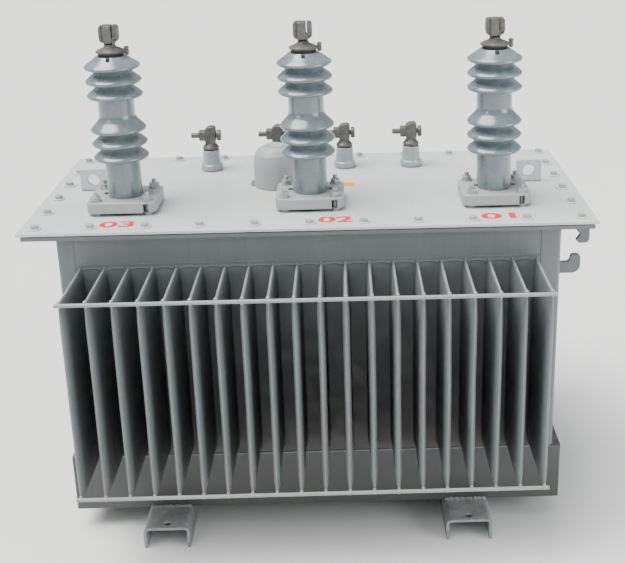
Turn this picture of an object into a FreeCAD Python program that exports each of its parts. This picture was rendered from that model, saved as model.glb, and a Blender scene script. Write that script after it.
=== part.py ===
import FreeCAD, Part
import Sketcher
import os

# Power transformer: an oil tank with folded cooling fins front and back, a
# bolted cover, three high-voltage and four low-voltage bushings, a filler bell,
# lifting lugs and two channel feet.
#
# Frame: millimetres, +Z up, +X along the row of fins, +Y from the front (the
# high-voltage side) to the back. The origin is on the floor, under the middle
# of the cover.

doc = FreeCAD.newDocument("transformer")

# ---------------------------------------------------------------- dimensions

DRIVING_SIZES = [
    # tank body, the size that the rest follows
    ("tank_length", 1044.0),
    ("tank_depth", 502.0),
    ("tank_height", 646.0),
    ("end_sheet", 4.0),
    ("end_corner", 8.0),
    ("end_return", 35.0),
    # feet: two bent channels, open downward, that run front to back
    ("channel_gauge", 660.0),
    ("channel_overrun", 84.0),
    ("channel_width", 100.0),
    ("channel_height", 50.0),
    ("channel_sheet", 6.0),
    ("channel_bend", 12.0),
    ("foot_hole_radius", 9.0),
    ("foot_hole_edge", 18.0),
    # the wider pan at the bottom of the tank
    ("pan_step_x", 18.0),
    ("pan_step_y", 2.0),
    ("pan_height", 130.0),
    ("pan_sheet", 5.0),
    ("pan_corner", 4.0),
    # folded cooling panels
    ("fin_pitch", 50.0),
    ("fin_depth", 178.0),
    ("fin_width", 14.0),
    ("fin_sheet", 1.5),
    ("fin_taper_foot", 32.0),
    ("fin_taper_head", 46.0),
    ("fin_margin", 8.5),
    ("fin_row_shift", 3.0),
    ("fin_above_pan", 4.0),
    ("fin_below_rim", 71.0),
    ("rod_radius", 4.0),
    ("rod_overrun", 9.0),
    ("rod_bite", 2.0),
    ("rod_inset", 5.0),
    # rim flange, gasket and cover
    ("rim_thick", 8.0),
    ("rim_inset", 7.0),
    ("rim_overlap", 14.0),
    ("gasket_thick", 4.0),
    ("gasket_inset", 12.0),
    ("cover_overhang_x", 70.0),
    ("cover_overhang_y", 31.0),
    ("cover_thick", 6.0),
    # high-voltage bushings
    ("hv_pitch", 397.0),
    ("hv_offset", 119.0),
    ("hv_flange_width", 146.0),
    ("hv_flange_depth", 128.0),
    ("hv_flange_thick", 24.0),
    ("hv_flange_corner", 20.0),
    ("hv_gasket_radius", 55.0),
    ("hv_gasket_thick", 6.0),
    ("hv_stud_offset_x", 53.5),
    ("hv_stud_offset_y", 47.5),
    ("hv_foot_radius", 8.0),
    ("hv_notch_width", 12.0),
    ("hv_notch_depth", 16.0),
    ("hv_notch_offset", 52.0),
    ("hv_body_radius", 37.0),
    ("hv_shed_radius", 59.0),
    ("hv_shed_pitch", 30.0),
    ("hv_shed_first", 88.5),
    ("hv_shed_gap", 132.0),
    ("hv_shed_lip", 5.0),
    ("hv_shed_rise", 19.0),
    ("hv_crown_radius", 30.0),
    ("hv_porcelain_height", 300.0),
    ("hv_tail_depth", 60.0),
    ("hv_cap_radius", 32.5),
    ("hv_cap_lip", 7.0),
    ("hv_cap_height", 18.0),
    ("hv_stem_radius", 12.0),
    ("hv_stem_height", 7.0),
    ("hv_head_width", 40.0),
    ("hv_head_depth", 30.0),
    ("hv_head_height", 39.0),
    ("hv_head_corner", 11.0),
    ("hv_slot_width", 3.5),
    ("hv_slot_depth", 28.0),
    ("hv_slot_offset", 9.5),
    ("hv_ear_length", 12.0),
    ("hv_ear_width", 12.0),
    ("hv_ear_height", 12.0),
    # low-voltage bushings
    ("lv_pitch", 160.0),
    ("lv_offset", 163.0),
    ("lv_row_shift", 4.5),
    ("lv_gasket_radius", 25.0),
    ("lv_gasket_thick", 3.0),
    ("lv_ring_radius", 26.5),
    ("lv_ring_height", 11.0),
    ("lv_foot_radius", 22.0),
    ("lv_neck_radius", 19.6),
    ("lv_porcelain_height", 47.0),
    ("lv_tail_depth", 50.0),
    ("lv_tail_radius", 17.0),
    ("lv_cap_radius", 19.5),
    ("lv_cap_lip", 7.0),
    ("lv_cap_height", 19.0),
    ("lv_palm_width", 27.0),
    ("lv_palm_depth", 24.0),
    ("lv_palm_height", 38.0),
    ("lv_palm_corner", 10.0),
    ("lv_bolt_drop", 22.0),
    ("lv_bolt_radius", 6.5),
    ("lv_bolt_length", 31.5),
    ("lv_nut_radius", 13.5),
    ("lv_nut_thick", 13.0),
    ("lv_washer_radius", 13.0),
    ("lv_washer_thick", 9.0),
    ("lv_washer_gap", 3.0),
    # clearance of a bushing's tail in its hole through the cover
    ("bushing_clearance", 1.5),
    # filler bell
    ("bell_x", 83.0),
    ("bell_y", 25.0),
    ("bell_radius", 49.0),
    ("bell_wall_height", 62.0),
    ("bell_dome_height", 30.0),
    ("bell_shoulder_in", 4.0),
    ("bell_shoulder_up", 12.5),
    ("bell_crown_in", 13.5),
    ("bell_crown_up", 23.5),
    ("bell_disc_radius", 21.0),
    ("bell_disc_height", 3.0),
    # lifting lugs on the cover
    ("lug_from_edge", 97.0),
    ("lug_y", 14.0),
    ("lug_width", 57.0),
    ("lug_height", 50.0),
    ("lug_thick", 12.0),
    ("lug_corner", 3.0),
    ("lug_hole_radius", 14.0),
    ("lug_hole_height", 25.0),
    # lashing hooks at two opposite corners
    ("hook_from_corner", 51.0),
    ("hook_thick", 10.0),
    ("hook_reach", 52.0),
    ("hook_height", 42.0),
    ("hook_arm", 25.0),
    ("hook_finger", 22.0),
    ("hook_drop", 124.0),
    ("hook_heel", 18.0),
    ("hook_tip", 8.0),
    ("tooth_height", 56.0),
    ("tooth_width", 28.0),
    ("tooth_inset", 1.0),
    ("tooth_notch", 9.0),
    ("tooth_notch_height", 19.0),
    ("tooth_corner", 6.0),
]

# Sizes worked out from the driving ones, as formulas over the same sheet.
DERIVED_SIZES = [
    ("pan_length", "tank_length + 2 * pan_step_x"),
    ("pan_depth", "tank_depth + 2 * pan_step_y"),
    ("channel_length", "tank_depth + 2 * channel_overrun"),
    ("cover_length", "tank_length + 2 * cover_overhang_x"),
    ("cover_depth", "tank_depth + 2 * cover_overhang_y"),
    ("pan_top", "channel_height + pan_height"),
    ("rim_bottom", "channel_height + tank_height"),
    ("rim_top", "rim_bottom + rim_thick"),
    ("cover_bottom", "rim_top + gasket_thick"),
    ("cover_top", "cover_bottom + cover_thick"),
    ("wall_y", "tank_depth / 2"),
    ("fin_room", "tank_length - 2 * end_return - 2 * fin_margin"),
    ("fin_count", "floor(fin_room / fin_pitch) + 1"),
    ("panel_length", "(fin_count - 1) * fin_pitch + 2 * fin_margin"),
    ("fin_bottom", "pan_top + fin_above_pan"),
    ("fin_top", "rim_bottom - fin_below_rim"),
    ("fin_front", "wall_y + fin_depth"),
    ("rod_y", "fin_front + rod_radius - rod_bite"),
    ("rod_length", "(fin_count - 1) * fin_pitch + 2 * rod_overrun"),
    ("hv_seat", "cover_top + hv_gasket_thick"),
    ("hv_base", "hv_seat + hv_flange_thick"),
    ("hv_top", "hv_base + hv_porcelain_height"),
    ("hv_head_foot", "hv_top + hv_cap_height + hv_stem_height"),
    ("hv_hole", "hv_body_radius + bushing_clearance"),
    ("lv_hole", "lv_tail_radius + bushing_clearance"),
    ("lv_base", "cover_top + lv_gasket_thick"),
    ("lv_top", "lv_base + lv_porcelain_height"),
    ("lv_palm_foot", "lv_top + lv_cap_height"),
    ("lv_bolt_z", "lv_palm_foot + lv_palm_height - lv_bolt_drop"),
    ("lug_x", "cover_length / 2 - lug_from_edge"),
    ("hook_y", "tank_depth / 2 - hook_from_corner"),
    ("hook_z", "rim_bottom - hook_drop"),
    ("tooth_x", "cover_length / 2 - tooth_inset"),
]

sheet = doc.addObject("Spreadsheet::Sheet", "sizes")
for row, (name, value) in enumerate(DRIVING_SIZES, start=1):
    sheet.set(f"A{row}", name)
    sheet.set(f"B{row}", str(value))
    sheet.setAlias(f"B{row}", name)
doc.recompute()
for row, (name, formula) in enumerate(DERIVED_SIZES, start=1):
    sheet.set(f"D{row}", name)
    sheet.set(f"E{row}", "=" + formula)
    sheet.setAlias(f"E{row}", name)
    doc.recompute()

ALIASES = sorted([name for name, _ in DRIVING_SIZES + DERIVED_SIZES], key=len, reverse=True)


def size(name):
    """One value from the sheet."""
    return float(sheet.get(name))


def bound(formula):
    """A formula over sheet aliases, as FreeCAD's expression engine wants it."""
    words = []
    word = ""
    for letter in str(formula) + " ":
        if letter.isalnum() or letter in "_.":
            word += letter
            continue
        words.append("sizes." + word if word in ALIASES else word)
        words.append(letter)
        word = ""
    return "".join(words).strip()


PARTS = []


def keep(obj, label):
    """Name a finished sub-part; its label is the name of its file."""
    obj.Label = label
    PARTS.append(obj)
    return obj


def place(obj, x="0", y="0", z="0", turn=0.0):
    """Bind an object's place to the sheet; turn is about Z, in degrees."""
    obj.Placement = FreeCAD.Placement(FreeCAD.Vector(), FreeCAD.Rotation(FreeCAD.Vector(0, 0, 1), turn))
    for axis, formula in zip("xyz", (x, y, z)):
        obj.setExpression(f"Placement.Base.{axis}", bound(formula))


# ------------------------------------------------------------ small builders

def box(name, x, y, z, length, width, height, centred=True):
    """A box whose plan centre (or low corner) is at x, y and whose foot is at z."""
    made = doc.addObject("Part::Box", name)
    made.setExpression("Length", bound(length))
    made.setExpression("Width", bound(width))
    made.setExpression("Height", bound(height))
    shift_x = f"({x}) - ({length}) / 2" if centred else x
    shift_y = f"({y}) - ({width}) / 2" if centred else y
    place(made, shift_x, shift_y, z)
    return made


def cylinder(name, x, y, z, radius, height):
    made = doc.addObject("Part::Cylinder", name)
    made.setExpression("Radius", bound(radius))
    made.setExpression("Height", bound(height))
    place(made, x, y, z)
    return made


def cut(name, base, tools):
    """The base with every tool taken out of it."""
    for index, tool in enumerate(tools):
        made = doc.addObject("Part::Cut", f"{name}_{index}")
        made.Base = base
        made.Tool = tool
        base = made
    return base


def fuse(name, shapes):
    made = doc.addObject("Part::MultiFuse", name)
    made.Shapes = shapes
    made.Refine = True
    return made


def origin_plane(body, role):
    return [plane for plane in body.Origin.OriginFeatures if plane.Role == role][0]


def outline(body, name, role, points):
    """A closed outline on one of the body's own planes. Every corner is held by
    two signed distances from the sketch's origin, each bound to the sheet."""
    sketch = body.newObject("Sketcher::SketchObject", name)
    sketch.AttachmentSupport = (origin_plane(body, role), "")
    sketch.MapMode = "FlatFace"
    add_loop(sketch, points)
    return sketch


def add_loop(sketch, points):
    flat = [FreeCAD.Vector(evaluate(x), evaluate(y), 0) for x, y in points]
    first = sketch.GeometryCount
    count = len(points)
    for index in range(count):
        sketch.addGeometry(Part.LineSegment(flat[index], flat[(index + 1) % count]), False)
    for index in range(count):
        here = first + index
        after = first + (index + 1) % count
        sketch.addConstraint(Sketcher.Constraint("Coincident", here, 2, after, 1))
    for index, (x, y) in enumerate(points):
        for kind, formula, value in (("DistanceX", x, flat[index].x), ("DistanceY", y, flat[index].y)):
            if abs(value) < 1e-9 and str(formula) == "0":
                axis = -2 if kind == "DistanceX" else -1
                sketch.addConstraint(Sketcher.Constraint("PointOnObject", first + index, 1, axis))
                continue
            which = sketch.addConstraint(Sketcher.Constraint(kind, -1, 1, first + index, 1, value))
            sketch.setExpression(f"Constraints[{which}]", bound(formula))


def evaluate(formula):
    """The present value of a formula, to draw an outline before it is bound."""
    return float(sheet.evalExpression(bound(formula).replace("sizes.", "")))


def pad(body, sketch, length, both_ways=False, reverse=False):
    made = body.newObject("PartDesign::Pad", sketch.Name + "_pad")
    made.Profile = sketch
    made.Midplane = both_ways
    made.Reversed = reverse
    made.setExpression("Length", bound(length))
    return made


def turned(label, profile, x, y, z):
    """A solid of revolution about its own upright axis, from (radius, height)
    pairs that start and end on the axis."""
    body = doc.addObject("PartDesign::Body", label + "_body")
    sketch = outline(body, label + "_profile", "XZ_Plane", profile)
    made = body.newObject("PartDesign::Revolution", label + "_turn")
    made.Profile = sketch
    made.ReferenceAxis = (sketch, ["V_Axis"])
    made.Angle = 360.0
    place(body, x, y, z)
    return body


def round_edges(body, base, radius, wanted, name):
    """Fillet the edges of the base feature for which wanted(edge) is true."""
    doc.recompute()
    edges = [f"Edge{index + 1}" for index, edge in enumerate(base.Shape.Edges) if wanted(edge)]
    made = body.newObject("PartDesign::Fillet", name)
    made.Base = (base, edges)
    made.setExpression("Radius", bound(radius))
    return made


def upright(edge):
    low, high = edge.Vertexes[0].Point, edge.Vertexes[-1].Point
    return abs(low.x - high.x) < 1e-6 and abs(low.y - high.y) < 1e-6 and abs(low.z - high.z) > 1e-6


def along_y(edge):
    low, high = edge.Vertexes[0].Point, edge.Vertexes[-1].Point
    return abs(low.x - high.x) < 1e-6 and abs(low.z - high.z) < 1e-6 and abs(low.y - high.y) > 1e-6


# ---------------------------------------------------------------- the feet

def base_channel(label, side):
    """A channel bent from plate, open downward, with a bolt hole through its
    web at each end."""
    body = doc.addObject("PartDesign::Body", label + "_body")
    half, inner = "channel_width / 2", "channel_width / 2 - channel_sheet"
    top = "channel_height"
    section = outline(body, label + "_section", "XZ_Plane", [
        (f"-({half})", "0"), (f"-({half})", top), (half, top), (half, "0"),
        (inner, "0"), (inner, f"{top} - channel_sheet"),
        (f"-({inner})", f"{top} - channel_sheet"), (f"-({inner})", "0"),
    ])
    bar = pad(body, section, "channel_length", both_ways=True)
    doc.recompute()

    def outer_bend(edge):
        return along_y(edge) and abs(edge.Vertexes[0].Point.z - size("channel_height")) < 1e-6

    def inner_bend(edge):
        level = size("channel_height") - size("channel_sheet")
        return along_y(edge) and abs(edge.Vertexes[0].Point.z - level) < 1e-6

    outer = round_edges(body, bar, "channel_bend", outer_bend, label + "_outer_bend")
    bent = round_edges(body, outer, "channel_bend - channel_sheet", inner_bend, label + "_inner_bend")
    place(body, f"{side} * channel_gauge / 2", "0", "0")
    doc.recompute()
    drills = [cylinder(f"{label}_drill_{end}", f"{side} * channel_gauge / 2",
                       f"{way} * (channel_length / 2 - foot_hole_edge)", "0",
                       "foot_hole_radius", "channel_height + 1")
              for end, way in (("front", -1), ("back", 1))]
    keep(cut(label + "_drilled", body, drills), label)


base_channel("base_channel_left", -1)
base_channel("base_channel_right", 1)


# ---------------------------------------------------------------- the tank

def bottom_pan():
    """The pan: floor, upright walls and a ledge that carries the tank body."""
    body = doc.addObject("PartDesign::Body", "bottom_pan_body")
    half_x, half_y = "pan_length / 2", "pan_depth / 2"
    plan = outline(body, "pan_plan", "XY_Plane", [
        (f"-({half_x})", f"-({half_y})"), (half_x, f"-({half_y})"),
        (half_x, half_y), (f"-({half_x})", half_y),
    ])
    block = pad(body, plan, "pan_height")
    rounded = round_edges(body, block, "pan_corner", upright, "pan_corners")
    place(body, "0", "0", "channel_height")
    hollow = box("pan_hollow", "0", "0", "channel_height + pan_sheet",
                 "pan_length - 2 * pan_sheet", "pan_depth - 2 * pan_sheet",
                 "pan_height - 2 * pan_sheet")
    mouth = box("pan_mouth", "0", "0", "pan_top - 2 * pan_sheet",
                "tank_length - 2 * rim_overlap", "tank_depth - 2 * rim_overlap",
                "3 * pan_sheet")
    keep(cut("bottom_pan_shell", body, [hollow, mouth]), "bottom_pan")


def tank_end(label, turn):
    """An end plate with its two edges folded round to meet the fin panels. The
    panels sit fin_row_shift off centre, so the two returns differ by that."""
    body = doc.addObject("PartDesign::Body", label + "_body")
    out_x, out_y = "tank_length / 2", "tank_depth / 2"
    in_x, in_y = f"{out_x} - end_sheet", f"{out_y} - end_sheet"
    front_edge = "panel_length / 2 - fin_row_shift"
    back_edge = "panel_length / 2 + fin_row_shift"
    plan = outline(body, label + "_plan", "XY_Plane", [
        (front_edge, f"-({out_y})"), (out_x, f"-({out_y})"), (out_x, out_y), (back_edge, out_y),
        (back_edge, in_y), (in_x, in_y), (in_x, f"-({in_y})"), (front_edge, f"-({in_y})"),
    ])
    folded = pad(body, plan, "rim_bottom - pan_top")
    doc.recompute()

    def outer_corner(edge):
        return upright(edge) and abs(edge.Vertexes[0].Point.x - size("tank_length") / 2) < 1e-6

    def inner_corner(edge):
        level = size("tank_length") / 2 - size("end_sheet")
        return upright(edge) and abs(edge.Vertexes[0].Point.x - level) < 1e-6

    outer = round_edges(body, folded, "end_corner", outer_corner, label + "_outer")
    round_edges(body, outer, "end_corner - end_sheet", inner_corner, label + "_inner")
    place(body, "0", "0", "pan_top", turn)
    keep(body, label)


bottom_pan()
tank_end("tank_end_right", 0)
tank_end("tank_end_left", 180)


# Half the gap left inside a pinched end, as a share of the sheet.
PINCHED_GAP = 0.2


def fin_section(half_width, reach, wall, height):
    """The plan outline of one fin at one height, as a wire: straight flanks that
    leave the wall and a half-round nose at full reach."""
    nose = reach - half_width
    a = FreeCAD.Vector(-half_width, -wall, height)
    b = FreeCAD.Vector(-half_width, -nose, height)
    tip = FreeCAD.Vector(0, -reach, height)
    c = FreeCAD.Vector(half_width, -nose, height)
    d = FreeCAD.Vector(half_width, -wall, height)
    edges = [Part.LineSegment(a, b).toShape(), Part.Arc(b, tip, c).toShape(),
             Part.LineSegment(c, d).toShape(), Part.LineSegment(d, a).toShape()]
    return Part.Wire(edges)


def fin_body(half_width, pinched, reach, wall, low, high):
    """One fin: full width over its height, pinched flat at its foot and head."""
    levels = [(low, pinched), (low + size("fin_taper_foot"), half_width),
              (high - size("fin_taper_head"), half_width), (high, pinched)]
    wires = [fin_section(half, reach, wall, height) for height, half in levels]
    return Part.makeLoft(wires, True, True)


def fin_panel(label, turn):
    """One wall of the tank, folded from a single sheet: flat strips with a deep
    hollow fin every fin_pitch, each welded shut at its foot and head. A folded
    sheet has no feature of its own here, so its shape is set directly."""
    sheet_thick = size("fin_sheet")
    wall = size("wall_y")
    low, high = size("fin_bottom"), size("fin_top")
    foot, head = size("pan_top"), size("rim_bottom")
    half = size("fin_width") / 2
    reach = size("fin_front")
    length = size("panel_length")
    strip = Part.makeBox(length, sheet_thick, head - foot, FreeCAD.Vector(-length / 2, -wall, foot))
    outer = fin_body(half, sheet_thick, reach, wall - sheet_thick, low, high)
    inner = fin_body(half - sheet_thick, sheet_thick * PINCHED_GAP, reach - sheet_thick,
                     wall - 2 * sheet_thick, low + sheet_thick, high - sheet_thick)
    count = int(round(size("fin_count")))
    starts = [(index - (count - 1) / 2) * size("fin_pitch") for index in range(count)]
    outers = [outer.translated(FreeCAD.Vector(x, 0, 0)) for x in starts]
    inners = [inner.translated(FreeCAD.Vector(x, 0, 0)) for x in starts]
    shape = strip.multiFuse(outers).cut(Part.makeCompound(inners))
    made = doc.addObject("Part::Feature", label + "_sheet")
    made.Shape = shape
    made.Placement = FreeCAD.Placement(
        FreeCAD.Vector(-size("fin_row_shift") if turn == 0 else size("fin_row_shift"), 0, 0),
        FreeCAD.Rotation(FreeCAD.Vector(0, 0, 1), turn))
    keep(made, label)


fin_panel("fin_panel_front", 0)
fin_panel("fin_panel_back", 180)


def stiffening_rod(label, side, level):
    """A round bar welded across the noses of the fins."""
    rod = doc.addObject("Part::Cylinder", label + "_bar")
    rod.setExpression("Radius", bound("rod_radius"))
    rod.setExpression("Height", bound("rod_length"))
    rod.Placement = FreeCAD.Placement(FreeCAD.Vector(), FreeCAD.Rotation(FreeCAD.Vector(0, 1, 0), 90))
    rod.setExpression("Placement.Base.x", bound(f"-rod_length / 2 + {side} * fin_row_shift"))
    rod.setExpression("Placement.Base.y", bound(f"{side} * rod_y"))
    rod.setExpression("Placement.Base.z", bound(level))
    keep(rod, label)


for side, word in ((-1, "front"), (1, "back")):
    stiffening_rod(f"top_rod_{word}", side, "fin_top - rod_inset")
    stiffening_rod(f"bottom_rod_{word}", side, "fin_bottom + rod_inset")


# ------------------------------------------------- rim flange, gasket, cover

def ring(label, level, thick, inset):
    """A flat frame under the cover, open over the inside of the tank."""
    plate = box(label + "_plate", "0", "0", level, f"cover_length - 2 * {inset}",
                f"cover_depth - 2 * {inset}", thick)
    mouth = box(label + "_mouth", "0", "0", f"{level} - 1", "tank_length - 2 * rim_overlap",
                "tank_depth - 2 * rim_overlap", f"{thick} + 2")
    keep(cut(label + "_frame", plate, [mouth]), label)


HV_PLACES = [("left", -1), ("centre", 0), ("right", 1)]
LV_PLACES = [("1", -1.5), ("2", -0.5), ("3", 0.5), ("4", 1.5)]


def cover_plate():
    plate = box("cover_blank", "0", "0", "cover_bottom", "cover_length", "cover_depth", "cover_thick")
    holes = [cylinder(f"hv_hole_{word}", f"{step} * hv_pitch", "-hv_offset", "cover_bottom - 1",
                      "hv_hole", "cover_thick + 2") for word, step in HV_PLACES]
    holes += [cylinder(f"lv_hole_{word}", f"{step} * lv_pitch - lv_row_shift", "lv_offset",
                       "cover_bottom - 1", "lv_hole", "cover_thick + 2") for word, step in LV_PLACES]
    keep(cut("cover_drilled", plate, holes), "cover_plate")


ring("rim_flange", "rim_bottom", "rim_thick", "rim_inset")
ring("cover_gasket", "rim_top", "gasket_thick", "gasket_inset")
cover_plate()


def lifting_lug(label, side):
    """An upright plate on the cover with a round eye that faces the front."""
    body = doc.addObject("PartDesign::Body", label + "_body")
    face = outline(body, label + "_face", "XZ_Plane", [
        ("-lug_width / 2", "0"), ("lug_width / 2", "0"),
        ("lug_width / 2", "lug_height"), ("-lug_width / 2", "lug_height"),
    ])
    plate = pad(body, face, "lug_thick", both_ways=True)
    doc.recompute()
    round_edges(body, plate, "lug_corner",
                lambda edge: along_y(edge) and edge.Vertexes[0].Point.z > 1, label + "_round")
    place(body, f"{side} * lug_x", "lug_y", "cover_top")
    eye = cylinder(label + "_eye", "0", "0", "0", "lug_hole_radius", "lug_thick + 2")
    eye.Placement = FreeCAD.Placement(FreeCAD.Vector(), FreeCAD.Rotation(FreeCAD.Vector(1, 0, 0), 90))
    eye.setExpression("Placement.Base.x", bound(f"{side} * lug_x"))
    eye.setExpression("Placement.Base.y", bound("lug_y + lug_thick / 2 + 1"))
    eye.setExpression("Placement.Base.z", bound("cover_top + lug_hole_height"))
    keep(cut(label + "_plate", body, [eye]), label)


lifting_lug("lifting_lug_left", -1)
lifting_lug("lifting_lug_right", 1)


# ------------------------------------------------------------ lashing hooks

def corner_hook(label, turn):
    """A flat J of plate on the end plate, its finger pointing up."""
    body = doc.addObject("PartDesign::Body", label + "_body")
    wall, out = "tank_length / 2", "tank_length / 2 + hook_reach"
    top = "hook_z + hook_height"
    face = outline(body, label + "_face", "XZ_Plane", [
        (wall, "hook_z"), (out, "hook_z"), (out, top), (f"{out} - hook_finger", top),
        (f"{out} - hook_finger", "hook_z + hook_arm"), (wall, "hook_z + hook_arm"),
    ])
    plate = pad(body, face, "hook_thick", both_ways=True)
    heel = round_edges(body, plate, "hook_heel", edge_at(out, "hook_z"), label + "_heel")
    throat = round_edges(body, heel, "hook_tip",
                         edge_at(f"{out} - hook_finger", "hook_z + hook_arm"), label + "_throat")
    outer = round_edges(body, throat, "hook_tip", edge_at(out, top), label + "_tip_out")
    round_edges(body, outer, "hook_tip", edge_at(f"{out} - hook_finger", top), label + "_tip_in")
    turn_about_middle(body, turn)
    keep(body, label)


def edge_at(x, z):
    """A test for the edge along Y that stands at this x and z."""
    at_x, at_z = evaluate(x), evaluate(z)

    def wanted(edge):
        point = edge.Vertexes[0].Point
        return along_y(edge) and abs(point.x - at_x) < 1e-6 and abs(point.z - at_z) < 1e-6
    return wanted


def rim_tooth(label, turn):
    """A flat tooth of plate under the rim flange, notched on its inner edge."""
    body = doc.addObject("PartDesign::Body", label + "_body")
    foot = "rim_bottom - tooth_height"
    inner = "tooth_x - tooth_width"
    face = outline(body, label + "_face", "XZ_Plane", [
        ("tooth_x - tooth_corner", foot), ("tooth_x", f"{foot} + tooth_corner"),
        ("tooth_x", "rim_bottom"), (inner, "rim_bottom"),
        (inner, f"{foot} + tooth_notch_height + tooth_notch"),
        (f"{inner} + tooth_notch", f"{foot} + tooth_notch_height"),
        (inner, f"{foot} + tooth_corner"), (f"{inner} + tooth_corner", foot),
    ])
    pad(body, face, "hook_thick", both_ways=True)
    turn_about_middle(body, turn)
    keep(body, label)


def turn_about_middle(body, turn):
    """Put a plate drawn in the XZ plane at hook_y in front of the middle, or
    turned half round to the corner opposite."""
    place(body, "0", "-hook_y" if turn == 0 else "hook_y", "0", turn)


for word, turn in (("right", 0), ("left", 180)):
    corner_hook(f"corner_hook_{word}", turn)
    rim_tooth(f"rim_tooth_{word}", turn)


# ---------------------------------------------------- high-voltage bushings

def shed_profile(level):
    """The outline of one umbrella shed whose lip is at this height."""
    return [
        ("hv_body_radius", f"{level} - hv_shed_lip * 0.2"),
        ("hv_shed_radius - 2", f"{level} - hv_shed_lip"),
        ("hv_shed_radius", f"{level} - hv_shed_lip * 0.4"),
        ("hv_shed_radius", level),
        ("hv_body_radius", f"{level} + hv_shed_rise"),
    ]


def hv_porcelain(label, x):
    """Two groups of three sheds on a round body, a plain tail below."""
    profile = [("0", "-hv_tail_depth"), ("hv_body_radius", "-hv_tail_depth")]
    for group in range(2):
        for step in range(3):
            profile += shed_profile(f"(hv_shed_first + {group} * hv_shed_gap + {step} * hv_shed_pitch)")
    profile = profile[:-1]
    profile += [("hv_crown_radius", "hv_porcelain_height"), ("0", "hv_porcelain_height")]
    keep(turned(label, profile, x, "-hv_offset", "hv_base"), label)


def hv_flange(label, x):
    """A cast square clamp flange on four short feet, with a slot beside one
    corner. The porcelain passes through it."""
    body = doc.addObject("PartDesign::Body", label + "_body")
    half, deep = "hv_flange_width / 2", "hv_flange_depth / 2"
    plan = outline(body, label + "_plan", "XY_Plane", [
        (f"-({half})", f"-({deep})"), (half, f"-({deep})"), (half, deep), (f"-({half})", deep),
    ])
    block = pad(body, plan, "hv_flange_thick")
    round_edges(body, block, "hv_flange_corner", upright, label + "_corners")
    place(body, x, "-hv_offset", "hv_seat")
    feet = [cylinder(f"{label}_foot_{way_x}_{way_y}", f"{x} + {way_x} * hv_stud_offset_x",
                     f"-hv_offset + {way_y} * hv_stud_offset_y", "cover_top",
                     "hv_foot_radius", "hv_gasket_thick + 1")
            for way_x in (-1, 1) for way_y in (-1, 1)]
    casting = fuse(label + "_casting", [body] + feet)
    bore = cylinder(label + "_bore", x, "-hv_offset", "hv_seat - 1", "hv_body_radius",
                    "hv_flange_thick + 2")
    slot = box(label + "_slot", f"{x} + hv_notch_offset",
               "-hv_offset - hv_flange_depth / 2", "hv_seat - hv_gasket_thick - 1",
               "hv_notch_width", "2 * hv_notch_depth",
               "hv_flange_thick + hv_gasket_thick + 2")
    keep(cut(label + "_cast", casting, [bore, slot]), label)


def hv_gasket(label, x):
    disc = cylinder(label + "_disc", x, "-hv_offset", "cover_top", "hv_gasket_radius",
                    "hv_gasket_thick")
    bore = cylinder(label + "_bore", x, "-hv_offset", "cover_top - 1", "hv_body_radius",
                    "hv_gasket_thick + 2")
    keep(cut(label + "_ring", disc, [bore]), label)


def hv_terminal(label, x):
    """A metal cap with a short stem, an ear at its right, and a clamp head that
    two upright slots divide into three jaws."""
    cap = turned(label + "_cap", [
        ("0", "0"), ("hv_cap_radius - 2", "0"), ("hv_cap_radius", "hv_cap_lip * 0.4"),
        ("hv_cap_radius", "hv_cap_lip"), ("hv_stem_radius + 3", "hv_cap_height"),
        ("hv_stem_radius", "hv_cap_height + hv_stem_height * 0.5"),
        ("hv_stem_radius", "hv_cap_height + hv_stem_height + 1"),
        ("0", "hv_cap_height + hv_stem_height + 1"),
    ], x, "-hv_offset", "hv_top")
    ear = box(label + "_ear", f"{x} + hv_cap_radius", "-hv_offset", "hv_top + 1",
              "hv_ear_length", "hv_ear_width", "hv_ear_height")
    head = doc.addObject("PartDesign::Body", label + "_head_body")
    half, corner = "hv_head_width / 2", "hv_head_corner"
    face = outline(head, label + "_head_face", "XZ_Plane", [
        (f"-({half} - {corner} * 0.8)", "0"), (f"{half} - {corner} * 0.8", "0"),
        (half, corner), (half, f"hv_head_height - {corner} * 0.5"),
        (f"{half} - {corner} * 0.5", "hv_head_height"),
        (f"-({half} - {corner} * 0.5)", "hv_head_height"),
        (f"-({half})", f"hv_head_height - {corner} * 0.5"), (f"-({half})", corner),
    ])
    pad(head, face, "hv_head_depth", both_ways=True)
    place(head, x, "-hv_offset", "hv_head_foot")
    slots = [box(f"{label}_slot_{word}", f"{x} + {side} * hv_slot_offset", "-hv_offset",
                 "hv_head_foot + hv_head_height - hv_slot_depth", "hv_slot_width",
                 "hv_head_depth + 2", "hv_slot_depth + 1")
             for word, side in (("left", -1), ("right", 1))]
    jaws = cut(label + "_jaws", head, slots)
    keep(fuse(label + "_metal", [cap, ear, jaws]), label)


for word, step in HV_PLACES:
    across = f"{step} * hv_pitch"
    hv_gasket(f"hv_gasket_{word}", across)
    hv_flange(f"hv_flange_{word}", across)
    hv_porcelain(f"hv_porcelain_{word}", across)
    hv_terminal(f"hv_terminal_{word}", across)


# ----------------------------------------------------- low-voltage bushings

def lv_porcelain(label, x):
    """A collar, a tapering body above and a plain tail below."""
    profile = [
        ("0", "-lv_tail_depth"), ("lv_tail_radius", "-lv_tail_depth"), ("lv_tail_radius", "0"),
        ("lv_ring_radius", "0"), ("lv_ring_radius", "lv_ring_height"),
        ("lv_foot_radius", "lv_ring_height"), ("lv_neck_radius", "lv_porcelain_height"),
        ("0", "lv_porcelain_height"),
    ]
    keep(turned(label, profile, x, "lv_offset", "lv_base"), label)


def lv_gasket(label, x):
    disc = cylinder(label + "_disc", x, "lv_offset", "cover_top", "lv_gasket_radius",
                    "lv_gasket_thick")
    bore = cylinder(label + "_bore", x, "lv_offset", "cover_top - 1", "lv_tail_radius",
                    "lv_gasket_thick + 2")
    keep(cut(label + "_ring", disc, [bore]), label)


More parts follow.
